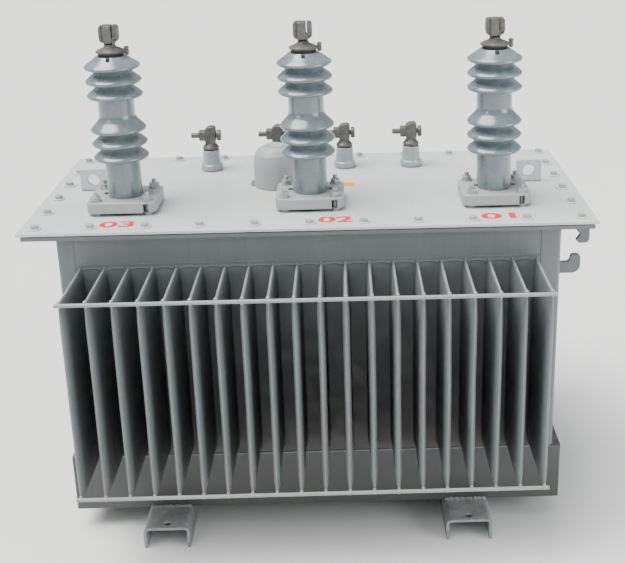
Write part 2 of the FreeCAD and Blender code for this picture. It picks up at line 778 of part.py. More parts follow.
def crosswise(made, x, y, z):
    """Turn a round piece to lie along X, with its low end at x."""
    made.Placement = FreeCAD.Placement(FreeCAD.Vector(), FreeCAD.Rotation(FreeCAD.Vector(0, 1, 0), 90))
    for axis, formula in zip("xyz", (x, y, z)):
        made.setExpression(f"Placement.Base.{axis}", bound(formula))
    return made


def lv_terminal(label, x):
    """A bell cap under an upright palm, with a clamp bolt across it: a round
    head at the right, a nut and the bolt's bare end at the left."""
    cap = turned(label + "_cap", [
        ("0", "0"), ("lv_cap_radius - 1", "0"), ("lv_cap_radius", "lv_cap_lip * 0.3"),
        ("lv_cap_radius", "lv_cap_lip"), ("lv_palm_width / 2", "lv_cap_height"),
        ("0", "lv_cap_height"),
    ], x, "lv_offset", "lv_top")
    palm = doc.addObject("PartDesign::Body", label + "_palm_body")
    half = "lv_palm_depth / 2"
    side_face = outline(palm, label + "_palm_face", "YZ_Plane", [
        (f"-({half})", "-lv_cap_height * 0.3"), (half, "-lv_cap_height * 0.3"),
        (half, "lv_palm_height - lv_palm_corner"), (f"{half} - lv_palm_corner", "lv_palm_height"),
        (f"-({half} - lv_palm_corner)", "lv_palm_height"),
        (f"-({half})", "lv_palm_height - lv_palm_corner"),
    ])
    pad(palm, side_face, "lv_palm_width", both_ways=True)
    place(palm, x, "lv_offset", "lv_palm_foot")
    left = f"{x} - lv_palm_width / 2"
    right = f"{x} + lv_palm_width / 2"
    bolt = doc.addObject("Part::Cylinder", label + "_bolt")
    bolt.setExpression("Radius", bound("lv_bolt_radius"))
    bolt.setExpression("Height", bound("lv_bolt_length + lv_palm_width + lv_washer_gap + 1"))
    crosswise(bolt, f"{left} - lv_bolt_length", "lv_offset", "lv_bolt_z")
    nut = doc.addObject("Part::Prism", label + "_nut")
    nut.Polygon = 6
    nut.setExpression("Circumradius", bound("lv_nut_radius"))
    nut.setExpression("Height", bound("lv_nut_thick"))
    crosswise(nut, f"{left} - lv_nut_thick", "lv_offset", "lv_bolt_z")
    head = doc.addObject("Part::Cylinder", label + "_bolt_head")
    head.setExpression("Radius", bound("lv_washer_radius"))
    head.setExpression("Height", bound("lv_washer_thick"))
    crosswise(head, f"{right} + lv_washer_gap", "lv_offset", "lv_bolt_z")
    keep(fuse(label + "_metal", [cap, palm, bolt, nut, head]), label)


for word, step in LV_PLACES:
    across = f"{step} * lv_pitch - lv_row_shift"
    lv_gasket(f"lv_gasket_{word}", across)
    lv_porcelain(f"lv_porcelain_{word}", across)
    lv_terminal(f"lv_terminal_{word}", across)


# ------------------------------------------------------------- filler bell

def filler_bell():
    """A domed steel bell over the filler, with a flat disc on its crown."""
    crown = "bell_wall_height + bell_dome_height"
    profile = [
        ("0", "0"), ("bell_radius", "0"), ("bell_radius", "bell_wall_height"),
        ("bell_radius - bell_shoulder_in", "bell_wall_height + bell_shoulder_up"),
        ("bell_radius - bell_crown_in", "bell_wall_height + bell_crown_up"),
        ("bell_disc_radius", crown), ("bell_disc_radius", f"{crown} + bell_disc_height"),
        ("0", f"{crown} + bell_disc_height"),
    ]
    keep(turned("filler_bell", profile, "-bell_x", "bell_y", "cover_top"), "filler_bell")


filler_bell()

# ------------------------------------------------------------ check and save

doc.recompute()
for obj in doc.Objects:
    if "Invalid" in obj.State or "Error" in obj.State:
        raise RuntimeError(f"{obj.Label} did not recompute: {obj.State}")
os.makedirs("parts", exist_ok=True)
for part in PARTS:
    shape = part.Shape
    if shape.isNull() or not shape.isValid():
        raise RuntimeError(f"{part.Label} has no valid shape")
    print(f"{part.Label:24s} solids {len(shape.Solids)}  volume {shape.Volume / 1000:10.1f} cm3")
    shape.exportStep(f"parts/{part.Label}.step")
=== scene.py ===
"""Power transformer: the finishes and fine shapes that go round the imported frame.

Laid out as an add-on and run as a script. Lengths inside are in metres.
"""

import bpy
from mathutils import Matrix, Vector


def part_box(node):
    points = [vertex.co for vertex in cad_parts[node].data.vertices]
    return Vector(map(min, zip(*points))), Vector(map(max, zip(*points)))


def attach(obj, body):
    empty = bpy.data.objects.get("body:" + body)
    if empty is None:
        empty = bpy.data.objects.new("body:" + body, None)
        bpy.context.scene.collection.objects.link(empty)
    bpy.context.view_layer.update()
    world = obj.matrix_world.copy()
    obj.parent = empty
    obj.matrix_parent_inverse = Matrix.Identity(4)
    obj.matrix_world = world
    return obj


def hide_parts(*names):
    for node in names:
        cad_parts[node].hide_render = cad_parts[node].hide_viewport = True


bl_info = {
    "name": "Power transformer",
    "version": (1, 0, 0),
    "blender": (4, 5, 0),
    "location": "3D View > Sidebar > Transformer",
    "description": "Builds the tank, fins, cover and bushings of a distribution transformer",
    "category": "Add Mesh",
}

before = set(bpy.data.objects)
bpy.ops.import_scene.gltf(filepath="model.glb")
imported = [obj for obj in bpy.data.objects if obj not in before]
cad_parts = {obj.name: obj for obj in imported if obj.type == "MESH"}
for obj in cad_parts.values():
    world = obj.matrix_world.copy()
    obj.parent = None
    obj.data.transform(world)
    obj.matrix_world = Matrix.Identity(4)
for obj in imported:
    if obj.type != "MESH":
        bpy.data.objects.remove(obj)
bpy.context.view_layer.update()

import math

import bmesh
import bpy
from bpy.props import FloatProperty, FloatVectorProperty, IntProperty, PointerProperty
from mathutils import Matrix, Vector, noise

MM = 0.001
BODY = "root"
SIDES = ("left", "centre", "right")
NUMBERS = ("1", "2", "3", "4")


def linear(code):
    """An sRGB hex colour as the linear values that shaders take."""
    parts = [int(code[at:at + 2], 16) / 255 for at in (1, 3, 5)]
    return tuple(p / 12.92 if p <= 0.04045 else ((p + 0.055) / 1.055) ** 2.4 for p in parts)


def length(name, about, value):
    """A length property; the default is given in millimetres."""
    return FloatProperty(name=name, description=about, default=value * MM, min=0.0,
                         subtype="DISTANCE", unit="LENGTH")


def colour(name, about, code):
    return FloatVectorProperty(name=name, description=about, default=linear(code), size=3,
                               min=0.0, max=1.0, subtype="COLOR")


class TransformerSizes(bpy.types.PropertyGroup):
    """Sizes that the frame doesn't hold."""
    fin_count: IntProperty(name="Fins", description="Fins on each panel", default=20, min=2)
    fin_pitch: length("Fin pitch", "From one fin to the next", 50)
    fin_width: length("Fin width", "Outside width of one hollow fin", 14)
    fin_edge: length("Welded edge", "Width of a fin's welded foot and head", 3.4)
    fin_foot: length("Foot taper", "Height over which a fin's foot opens", 46)
    fin_head: length("Head taper", "Height over which a fin's head opens", 70)
    fin_nose: length("Nose depth", "Depth over which a fin's nose swells to its full width", 26)
    fin_sheet: length("Fin sheet", "Thickness of the folded sheet", 1.5)
    bolt_across: length("Cover bolt", "Across the flats of a cover bolt's head", 15)
    bolt_washer: length("Cover washer", "Outside width of a cover washer", 27)
    bolt_inset_x: length("Bolt line, ends", "From the cover's short edge to the bolts", 31.3)
    bolt_inset_y: length("Bolt line, sides", "From the cover's long edge to the bolts", 30)
    bolts_along: IntProperty(name="Bolts along", description="Bolts on a long edge", default=11, min=2)
    bolts_across: IntProperty(name="Bolts across", description="Bolts on a short edge", default=6, min=2)
    shed_radius: length("Shed radius", "Radius of a porcelain shed", 59)
    numeral_height: length("Numeral height", "Height of a painted numeral", 37)
    bushing_lean: FloatProperty(name="Bushing lean", description="How far the tall bushings are out of plumb",
                                default=math.radians(0.85), subtype="ANGLE", unit="ROTATION")


class TransformerColours(bpy.types.PropertyGroup):
    """Paint and glaze colours."""
    cover: colour("Cover enamel", "Grey enamel on the cover and its fittings", "#C4C9CA")
    # painted light: the tank wears one grey enamel all over; the wall and fin colours are it darkened as
    # painted shade on the upright walls and fins, and the edge colour is lighter than the fin colour as
    # painted highlight on the rods and welded edges
    wall: colour("Wall enamel", "Grey enamel on the tank walls and rim", "#6D7273")
    fin: colour("Fin enamel", "Grey enamel on the folded fins", "#6C7172")
    edge: colour("Edge enamel", "Grey enamel on rods and welded edges", "#8F9393")
    foot: colour("Foot enamel", "Grey enamel on the channel feet", "#8E9293")
    glaze: colour("Glaze", "Blue-grey glaze of the porcelain", "#617074")
    tin: colour("Tinned metal", "Dull tinned brass of the terminals", "#696967")
    numeral: colour("Numeral paint", "Stencilled numerals", "#E2281A")
    tag: colour("Tag", "Plain adhesive tag", "#F7A000")


# ------------------------------------------------------------ materials

def add_node(tree, kind, inputs=None, **options):
    """Add one node, set its options, and fill its sockets with values or links.
    A node given as a value links from its first output."""
    made = tree.nodes.new("ShaderNode" + kind)
    for option, value in options.items():
        setattr(made, option, value)
    for socket, value in (inputs or {}).items():
        if isinstance(value, bpy.types.Node):
            value = value.outputs[0]
        if isinstance(value, bpy.types.NodeSocket):
            tree.links.new(value, made.inputs[socket])
        else:
            made.inputs[socket].default_value = value
    return made


def blank(name):
    """A new material with only its output, and where its patterns are read."""
    material = bpy.data.materials.new(name)
    material.use_nodes = True
    tree = material.node_tree
    tree.nodes.clear()
    return material, tree, add_node(tree, "TexCoord").outputs["Object"]


def four(colour_value):
    return tuple(colour_value) + (1.0,)


def solid(code):
    """A hex colour as a shader's four values."""
    return four(linear(code))


def shade(colour_value, by):
    """The same colour lighter or darker, as a shader's four values."""
    return tuple(min(1.0, part * by) for part in colour_value) + (1.0,)


def patches(tree, where, size, low, high, detail=2.0, rough=0.5, to_low=0.0, to_high=1.0):
    """Soft blotches of about this size: a value that climbs from one to another
    between two levels of the noise."""
    cloud = add_node(tree, "TexNoise", {"Vector": where, "Scale": 1.0 / size, "Detail": detail,
                                        "Roughness": rough})
    return add_node(tree, "MapRange", {0: cloud, 1: low, 2: high, 3: to_low, 4: to_high})


def laid_over(tree, base, coat, *shares):
    """One colour laid over another by the product of its shares."""
    share = shares[0]
    for other in shares[1:]:
        share = add_node(tree, "Math", {0: share, 1: other}, operation="MULTIPLY")
    return add_node(tree, "Mix", {0: share, 6: base, 7: coat}, data_type="RGBA").outputs[2]


def relief(tree, where, size, strength, depth, detail=2.0):
    """Bumps of about this size and depth."""
    grain = add_node(tree, "TexNoise", {"Vector": where, "Scale": 1.0 / size, "Detail": detail})
    return add_node(tree, "Bump", {"Height": grain, "Strength": strength, "Distance": depth})


def facing_up(tree):
    """How far the surface faces up, from -1 to 1."""
    normal = add_node(tree, "NewGeometry").outputs["Normal"]
    return add_node(tree, "SeparateXYZ", {0: normal}).outputs["Z"]


def finish_surface(tree, **sockets):
    """The shader and output that end every material."""
    named = {name.replace("_", " "): value for name, value in sockets.items()}
    add_node(tree, "OutputMaterial", {"Surface": add_node(tree, "BsdfPrincipled", named)})


def sprayed_enamel(name, paint, cloud=0.5, streak=0.25, dust=0.3, soil=0.0, uneven=0.5,
                   roughness=0.42, bay_shade=0.0, marks=None):
    """Air-drying alkyd enamel sprayed on steel. It is satin, with a fine orange
    peel, blotches where the coat is thin, runs of dirty water on upright faces
    and pale dust on level ones."""
    material, tree, where = blank(name)
    base = laid_over(tree, four(paint), shade(paint, 0.84), patches(tree, where, 0.11, 0.36, 0.64, 3.0), cloud)
    base = laid_over(tree, base, (paint[0] * 0.90, paint[1] * 0.97, paint[2] * 0.98, 1.0),
                     patches(tree, where, 0.23, 0.4, 0.62), cloud * 0.7)
    up = facing_up(tree)
    level = add_node(tree, "MapRange", {0: up, 1: 0.55, 2: 0.95})
    upright = add_node(tree, "MapRange", {0: up, 1: 0.5, 2: 0.1})
    drawn_out = add_node(tree, "Mapping", {"Vector": where, "Scale": (1, 1, 0.07)})
    runs = patches(tree, drawn_out, 0.016, 0.52, 0.75, 3.0)
    base = laid_over(tree, base, shade(paint, 0.62), runs, upright, streak)
    film = patches(tree, where, 0.045, 0.42, 0.66, 5.0, 0.62)
    base = laid_over(tree, base, solid("#CFCBC0"), film, level, dust)
    base = laid_over(tree, base, shade(paint, 0.45), patches(tree, where, 0.0035, 0.76, 0.8, 1.0), 0.35)
    place = add_node(tree, "SeparateXYZ", {0: where}).outputs
    if bay_shade:
        # painted shade deep between the fins, darker and browner lower down; it is set dark enough to make up
        # for the light that the pale floor throws back in there
        aside = add_node(tree, "Math", {0: place["Y"]}, operation="ABSOLUTE")
        behind = add_node(tree, "MapRange", {0: aside, 1: 0.40, 2: 0.27})
        below = add_node(tree, "MapRange", {0: place["Z"], 1: 0.62, 2: 0.36})
        browner = add_node(tree, "MapRange", {0: place["Z"], 1: 0.5, 2: 0.15})
        bay_shade_colour = laid_over(tree, shade(paint, 0.42), solid("#33322D"), browner)
        base = laid_over(tree, base, bay_shade_colour, behind, below, bay_shade)
    if soil:
        # splashed earth, thickest near the floor
        low = add_node(tree, "MapRange", {0: place["Z"], 1: 0.2, 2: 0.02})
        splash = patches(tree, where, 0.03, 0.44, 0.62, 6.0, 0.7)
        base = laid_over(tree, base, solid("#5B554C"), splash, low, soil)
    if marks:
        base = marks(tree, where, base)
    # the peel of a sprayed coat is about 1.5 mm; it is drawn at 4 mm so that it shows
    peel = relief(tree, where, 0.004, 0.25, 0.0002)
    dents = relief(tree, where, 0.07, uneven, 0.002, 1.0)
    tree.links.new(peel.outputs[0], dents.inputs["Normal"])
    gloss = patches(tree, where, 0.03, 0.3, 0.7, 4.0, 0.5, roughness - 0.06, roughness + 0.14)
    finish_surface(tree, Base_Color=base, Roughness=gloss, Normal=dents, IOR=1.5)
    return material


def cover_marks(tree, where, base):
    """What has been left on the cover: a broad drip ring behind the middle
    bushing, yellow stain beside the bell and at one corner, and light scuffs."""
    flat = add_node(tree, "VectorMath", {0: where, 1: (1, 1, 0)}, operation="MULTIPLY")

    def away(x, y):
        place = (x * MM, y * MM, 0)
        return add_node(tree, "VectorMath", {0: flat, 1: place}, operation="DISTANCE").outputs["Value"]

    ring = add_node(tree, "Math", {0: away(-27, 50), 1: 0.185}, operation="SUBTRACT")
    ring = add_node(tree, "Math", {0: ring}, operation="ABSOLUTE")
    ring = add_node(tree, "MapRange", {0: ring, 1: 0.006, 2: 0.001})
    base = laid_over(tree, base, solid("#8D8878"), ring, patches(tree, where, 0.05, 0.45, 0.6, 4.0, 0.7), 0.3)
    for x, y, edge, core, thin, thick, strength, tint in (
            (-83, -45, 0.085, 0.02, 0.38, 0.62, 0.4, "#C9C29B"),
            (575, -262, 0.03, 0.006, 0.35, 0.55, 0.6, "#CFC98F")):
        near = add_node(tree, "MapRange", {0: away(x, y), 1: edge, 2: core})
        stain = patches(tree, where, 0.05, thin, thick, 4.0, 0.7)
        base = laid_over(tree, base, solid(tint), near, stain, strength)
    drawn_out = add_node(tree, "Mapping", {"Vector": where, "Scale": (0.16, 1, 1)})
    scuff = patches(tree, drawn_out, 0.012, 0.64, 0.74, 4.0, 0.7)
    return laid_over(tree, base, solid("#8E9293"), scuff, 0.16)


def glazed_porcelain(name, glaze):
    """Electrical porcelain, turned and dipped in glaze. It is glassy, with painted
    shade on the faces that turn down under each shed, and the glaze thins on the rims."""
    material, tree, where = blank(name)
    base = laid_over(tree, four(glaze), (glaze[0] * 0.90, glaze[1] * 0.93, glaze[2] * 0.92, 1.0),
                     patches(tree, where, 0.05, 0.35, 0.68))
    up = facing_up(tree)
    # painted shade: faces that turn downwards, under each shed, are darkened
    underside_shade = add_node(tree, "MapRange", {0: up, 1: 0.15, 2: -0.8, 4: 0.7})
    base = laid_over(tree, base, shade(glaze, 0.5), underside_shade)
    level = add_node(tree, "MapRange", {0: up, 1: 0.2, 2: 0.9})
    film = patches(tree, where, 0.02, 0.45, 0.7, 5.0, 0.65)
    base = laid_over(tree, base, solid("#C8CBC8"), film, level, 0.18)
    gloss = patches(tree, where, 0.03, 0.35, 0.7, 3.0, 0.5, 0.22, 0.34)
    finish_surface(tree, Base_Color=base, Roughness=gloss, Normal=relief(tree, where, 0.012, 0.2, 0.0005),
                   IOR=1.52, Coat_Weight=1.0, Coat_Roughness=0.17)
    return material


def tinned_brass(colours):
    """Cast brass with a dull tin coat, grainy from the sand mould and greyer
    where the tin has oxidised."""
    material, tree, where = blank("tinned_brass")
    tin = colours.tin
    base = laid_over(tree, four(tin), shade(tin, 0.66), patches(tree, where, 0.012, 0.35, 0.65, 4.0))
    base = laid_over(tree, base, solid("#8F8878"), patches(tree, where, 0.006, 0.55, 0.75), 0.5)
    gloss = patches(tree, where, 0.008, 0.3, 0.7, 3.0, 0.5, 0.42, 0.62)
    grain = relief(tree, where, 0.0018, 0.35, 0.0003)
    finish_surface(tree, Base_Color=base, Roughness=gloss, Normal=grain, Metallic=0.6)
    return material


def zinc_plate(_):
    """Zinc-plated steel fasteners with thin overspray: dull, slightly blotched."""
    material, tree, where = blank("zinc_plated_steel")
    base = laid_over(tree, solid("#B3B6B6"), solid("#8C8F8F"), patches(tree, where, 0.007, 0.35, 0.65, 4.0))
    gloss = patches(tree, where, 0.01, 0.3, 0.7, 3.0, 0.5, 0.38, 0.6)
    grain = relief(tree, where, 0.0025, 0.3, 0.0003, 3.0)
    finish_surface(tree, Base_Color=base, Roughness=gloss, Normal=grain, Metallic=0.35)
    return material


def cork_rubber(_):
    """Rubber-bonded cork sheet, cut to shape: matt, dark, with cork crumbs."""
    material, tree, where = blank("bonded_cork")
    crumbs = add_node(tree, "TexVoronoi", {"Vector": where, "Scale": 1 / 0.003}).outputs["Distance"]
    dark = add_node(tree, "MapRange", {0: crumbs, 1: 0.2, 2: 0.6})
    pits = add_node(tree, "Bump", {"Height": crumbs, "Strength": 0.5, "Distance": 0.0004})
    matt = add_node(tree, "MapRange", {0: crumbs, 2: 0.8, 3: 0.75, 4: 0.95})
    finish_surface(tree, Base_Color=laid_over(tree, solid("#3A3733"), solid("#1F1F20"), dark), Roughness=matt,
                   Normal=pits)
    return material


def stencil_paint(colours):
    """Red air-drying paint dabbed through a stencil: thin and patchy."""
    material, tree, where = blank("stencil_paint")
    red = colours.numeral
    wear = patches(tree, where, 0.006, 0.56, 0.70, 5.0, 0.7)
    base = laid_over(tree, four(red), four(colours.cover), wear, 0.6)
    base = laid_over(tree, base, shade(red, 0.75), patches(tree, where, 0.02, 0.35, 0.7, to_high=0.5))
    matt = add_node(tree, "MapRange", {0: wear, 3: 0.45, 4: 0.65})
    finish_surface(tree, Base_Color=base, Roughness=matt, Normal=relief(tree, where, 0.002, 0.3, 0.0002))
    return material


def vinyl_tag(colours):
    """Plain adhesive vinyl, sun-faded and a little dirty."""
    material, tree, where = blank("vinyl_tag")
    dirt = patches(tree, where, 0.008, 0.4, 0.7, 4.0, to_high=0.5)
    finish_surface(tree, Base_Color=laid_over(tree, four(colours.tag), shade(colours.tag, 0.7), dirt),
                   Roughness=patches(tree, where, 0.01, 0.3, 0.7, to_low=0.3, to_high=0.5))
    return material


def floor_paint(_):
    """Pale sealed studio floor, almost even."""
    material, tree, where = blank("pale_floor")
    base = laid_over(tree, solid("#E6E6E6"), solid("#E2E2E2"), patches(tree, where, 0.6, 0.3, 0.7, 3.0))
    matt = patches(tree, where, 0.4, 0.3, 0.7, to_low=0.8, to_high=0.9)
    finish_surface(tree, Base_Color=base, Roughness=matt)
    return material


FINISHES = {
    "cover_enamel": lambda c: sprayed_enamel("cover_enamel", c.cover, cloud=0.25, streak=0.2, dust=0.25,
                                             uneven=0.12, marks=cover_marks),
    "wall_enamel_painted_shade": lambda c: sprayed_enamel("wall_enamel_painted_shade", c.wall, streak=0.25, soil=0.2, uneven=0.4),
    # painted shade: the pan is a darker copy of the wall enamel, for the shade it lies in under the fins
    "pan_enamel_painted_shade": lambda c: sprayed_enamel("pan_enamel_painted_shade", shade(c.wall, 0.56)[:3], streak=0.2, soil=0.25,
                                           bay_shade=0.5, uneven=0.4),
    "fin_enamel_painted_shade": lambda c: sprayed_enamel("fin_enamel_painted_shade", c.fin, cloud=0.6, streak=0.3, uneven=0.5,
                                           roughness=0.42, bay_shade=0.95),
    "edge_enamel_painted_highlight": lambda c: sprayed_enamel("edge_enamel_painted_highlight", c.edge, streak=0.2, dust=0.15, uneven=0.3),
    "bolt_enamel": lambda c: sprayed_enamel("bolt_enamel", shade(c.cover, 0.68)[:3], dust=0.35, uneven=0.3),
    "foot_enamel": lambda c: sprayed_enamel("foot_enamel", c.foot, streak=0.3, soil=0.45, uneven=0.3,
                                            roughness=0.5),
    # painted shade: the castings wear the cover's enamel, here darkened for the lesser light on their upright
    # faces
    "cast_enamel_painted_shade": lambda c: sprayed_enamel("cast_enamel_painted_shade", shade(c.cover, 0.62)[:3], cloud=0.3, streak=0.15,
                                            dust=0.2, uneven=0.25, roughness=0.46),
    "dipped_grey_glaze": lambda c: glazed_porcelain("dipped_grey_glaze", c.glaze),
    "dipped_pale_glaze": lambda c: glazed_porcelain("dipped_pale_glaze", [p * 0.9 + 0.2 for p in c.glaze]),
    "tinned_brass": tinned_brass,
    "zinc_plated_steel": zinc_plate,
    "bonded_cork": cork_rubber,
    "stencil_paint": stencil_paint,
    "vinyl_tag": vinyl_tag,
    "pale_floor": floor_paint,
}


def finish(name):
    """The named finish, made once."""
    made = bpy.data.materials.get(name)
    return made or FINISHES[name](bpy.context.scene.transformer_colours)


def coat(finish_name, *nodes):
    """Give frame nodes a finish."""
    for name in nodes:
        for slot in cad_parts[name].material_slots:
            slot.material = finish(finish_name)


# ------------------------------------------------------------ shapes

def carve(made, tool):
    """Take a tool shape out of a finished piece."""
    bmesh.ops.recalc_face_normals(tool, faces=tool.faces)
    mesh = bpy.data.meshes.new("tool")
    tool.to_mesh(mesh)
    tool.free()
    cutter = bpy.data.objects.new("tool", mesh)
    bpy.context.scene.collection.objects.link(cutter)
    cut = made.modifiers.new("cut", "BOOLEAN")
    cut.operation = "DIFFERENCE"
    cut.solver = "EXACT"
    cut.use_self = True
    cut.object = cutter
    ready = made.evaluated_get(bpy.context.evaluated_depsgraph_get())
    result = bpy.data.meshes.new_from_object(ready)
    made.modifiers.clear()
    old = made.data
    made.data = result
    bpy.data.objects.remove(cutter)
    bpy.data.meshes.remove(mesh)
    bpy.data.meshes.remove(old)


def keep(name, shape, finish_name, stands_for=(), angle=35.0, tool=None):
    """Make a finished piece: its place is in its mesh and it rides on the tank.
    A tool shape, where there is one, is first taken out of it."""
    bmesh.ops.remove_doubles(shape, verts=shape.verts, dist=1e-6)
    bmesh.ops.recalc_face_normals(shape, faces=shape.faces)
    mesh = bpy.data.meshes.new(name)
    shape.to_mesh(mesh)
    shape.free()
    mesh.shade_smooth()
    mesh.set_sharp_from_angle(angle=math.radians(angle))
    mesh.materials.append(finish(finish_name))
    made = bpy.data.objects.new(name, mesh)
    bpy.context.scene.collection.objects.link(made)
    if tool:
        carve(made, tool)
        made.data.set_sharp_from_angle(angle=math.radians(angle))
    made.modifiers.new("flat_faces_shade_flat", "WEIGHTED_NORMAL").keep_sharp = True
    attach(made, BODY)
    if stands_for:
        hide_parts(*stands_for)
    return made


def merge(shape, part, place=None):
    """Add one shape to another, moved to its place."""
    if place:
        part.transform(place)
    held = bpy.data.meshes.new("held")
    part.to_mesh(held)
    part.free()
    shape.from_mesh(held)
    bpy.data.meshes.remove(held)


def round_edges(part, edges, offset, segments=2):
    bmesh.ops.bevel(part, geom=edges, offset=offset, segments=segments, profile=0.5, affect="EDGES",
                    material=-1)


def rims(part):
    """The level edges of an upright shape."""
    return [e for e in part.edges if abs(e.verts[0].co.z - e.verts[1].co.z) < 1e-7]


def fresh_verts(grown):
    return [g for g in grown if isinstance(g, bmesh.types.BMVert)]


def block(shape, low, high, edge=0.0):
    """A box between two corners, its edges rounded."""
    size = Vector(high) - Vector(low)
    middle = (Vector(high) + Vector(low)) / 2
    part = bmesh.new()
    bmesh.ops.create_cube(part, size=1.0, matrix=Matrix.Translation(middle) @ Matrix.Diagonal(size).to_4x4())
    if edge:
        round_edges(part, part.edges[:], edge)
    merge(shape, part)


def disc(shape, sides, radius, low, high, edge=0.0, turn=0.0):
    """A disc or many-sided prism between two points, its rims rounded."""
    low, high = Vector(low), Vector(high)
    axis = high - low
    part = bmesh.new()
    bmesh.ops.create_cone(part, cap_ends=True, segments=sides, radius1=radius, radius2=radius,
                          depth=axis.length, matrix=Matrix.Rotation(turn, 4, "Z"))
    if edge:
        round_edges(part, rims(part), edge)
    aim = axis.to_track_quat("Z", "Y").to_matrix().to_4x4()
    merge(shape, part, Matrix.Translation((low + high) / 2) @ aim)


def rounded_line(part, points, closed=False):
    """Draw a line through (across, up, rounding) in millimetres and round its corners."""
    verts = [part.verts.new((across * MM, up * MM, 0)) for across, up, _ in points]
    if closed:
        part.faces.new(verts)
    else:
        for pair in zip(verts, verts[1:]):
            part.edges.new(pair)
    for vert, (_, _, rounding) in zip(verts, points):
        if rounding:
            bmesh.ops.bevel(part, geom=[vert], offset=rounding * MM, segments=5, profile=0.5,
                            affect="VERTICES", material=-1)


def turned(shape, profile, centre, steps=64):
    """Turn a profile of (radius, height, rounding) in millimetres about an
    upright axis at the centre."""
    part = bmesh.new()
    rounded_line(part, profile)
    part.transform(Matrix.Rotation(math.radians(90), 4, "X"))
    bmesh.ops.spin(part, geom=part.verts[:] + part.edges[:], cent=(0, 0, 0), axis=(0, 0, 1),
                   angle=math.tau, steps=steps, use_merge=True)
    bmesh.ops.remove_doubles(part, verts=part.verts, dist=1e-6)
    merge(shape, part, Matrix.Translation(centre))


# How an outline's own axes lie for a plate that is thick along each axis.
LIE = {
    "X": Matrix(((0, 0, 1, 0), (1, 0, 0, 0), (0, 1, 0, 0), (0, 0, 0, 1))),
    "Y": Matrix(((1, 0, 0, 0), (0, 0, 1, 0), (0, 1, 0, 0), (0, 0, 0, 1))),
    "Z": Matrix.Identity(4),
}


def plate(shape, outline, axis, low, high, centre=(0, 0, 0), edge=0.0):
    """A plate with an outline of (across, up, rounding) in millimetres, thick
    along one axis from low to high, also in millimetres."""
    part = bmesh.new()
    rounded_line(part, outline, closed=True)
    bmesh.ops.translate(part, verts=part.verts, vec=(0, 0, low * MM))
    grown = bmesh.ops.extrude_face_region(part, geom=part.faces[:])["geom"]
    bmesh.ops.translate(part, verts=fresh_verts(grown), vec=(0, 0, (high - low) * MM))
    if edge:
        round_edges(part, rims(part), edge * MM, 3)
    merge(shape, part, Matrix.Translation(Vector(centre) * MM) @ LIE[axis])


def ribbed(shape, start, end, radius, pitch, depth=0.12, even=False, sides=8):
    """A rod drawn out ring by ring: uneven ripples make a weld bead, even ones
    a thread."""
    start, end = Vector(start), Vector(end)
    axis = end - start
    rings = max(3, round(axis.length / pitch))
    aim = axis.to_track_quat("Z", "Y").to_matrix().to_4x4()
    part = bmesh.new()
    bmesh.ops.create_circle(part, cap_ends=True, segments=sides, radius=radius * 0.75,
                            matrix=Matrix.Translation(start) @ aim)
    edges = part.edges[:]
    for ring in range(1, rings + 1):
        centre = start + axis * ring / rings
        ripple = (ring % 2) if even else 0.5 + noise.noise(centre * 400)
        grown = bmesh.ops.extrude_edge_only(part, edges=edges)["geom"]
        fresh = fresh_verts(grown)
        edges = [g for g in grown if isinstance(g, bmesh.types.BMEdge) and all(v in fresh for v in g.verts)]
        before = start + axis * (ring - 1) / rings
        for vert in fresh:
            out = (vert.co - before).normalized()
            vert.co = centre + out * radius * (1 - depth + 2 * depth * ripple * (0.5 if even else 1))
    bmesh.ops.holes_fill(part, edges=edges, sides=0)
    merge(shape, part)


def blob(shape, centre, size):
    """A lump of weld, uneven all round."""
    part = bmesh.new()
    bmesh.ops.create_icosphere(part, subdivisions=2, radius=1.0,
                               matrix=Matrix.Diagonal(Vector(size)).to_4x4())
    for vert in part.verts:
        vert.co *= 1 + 0.22 * noise.noise(vert.co * 260 + Vector(centre) * 900)
    merge(shape, part, Matrix.Translation(centre))


def swell(at):
    """A quarter of an ellipse: quick at first, then level."""
    at = min(1.0, max(0.0, at))
    return math.sqrt(1 - (1 - at) ** 2)


# ------------------------------------------------------------ pieces

def spaced(first, last, count):
    """Evenly spaced places from the first to the last."""
    return [first + i * (last - first) / (count - 1) for i in range(count)]


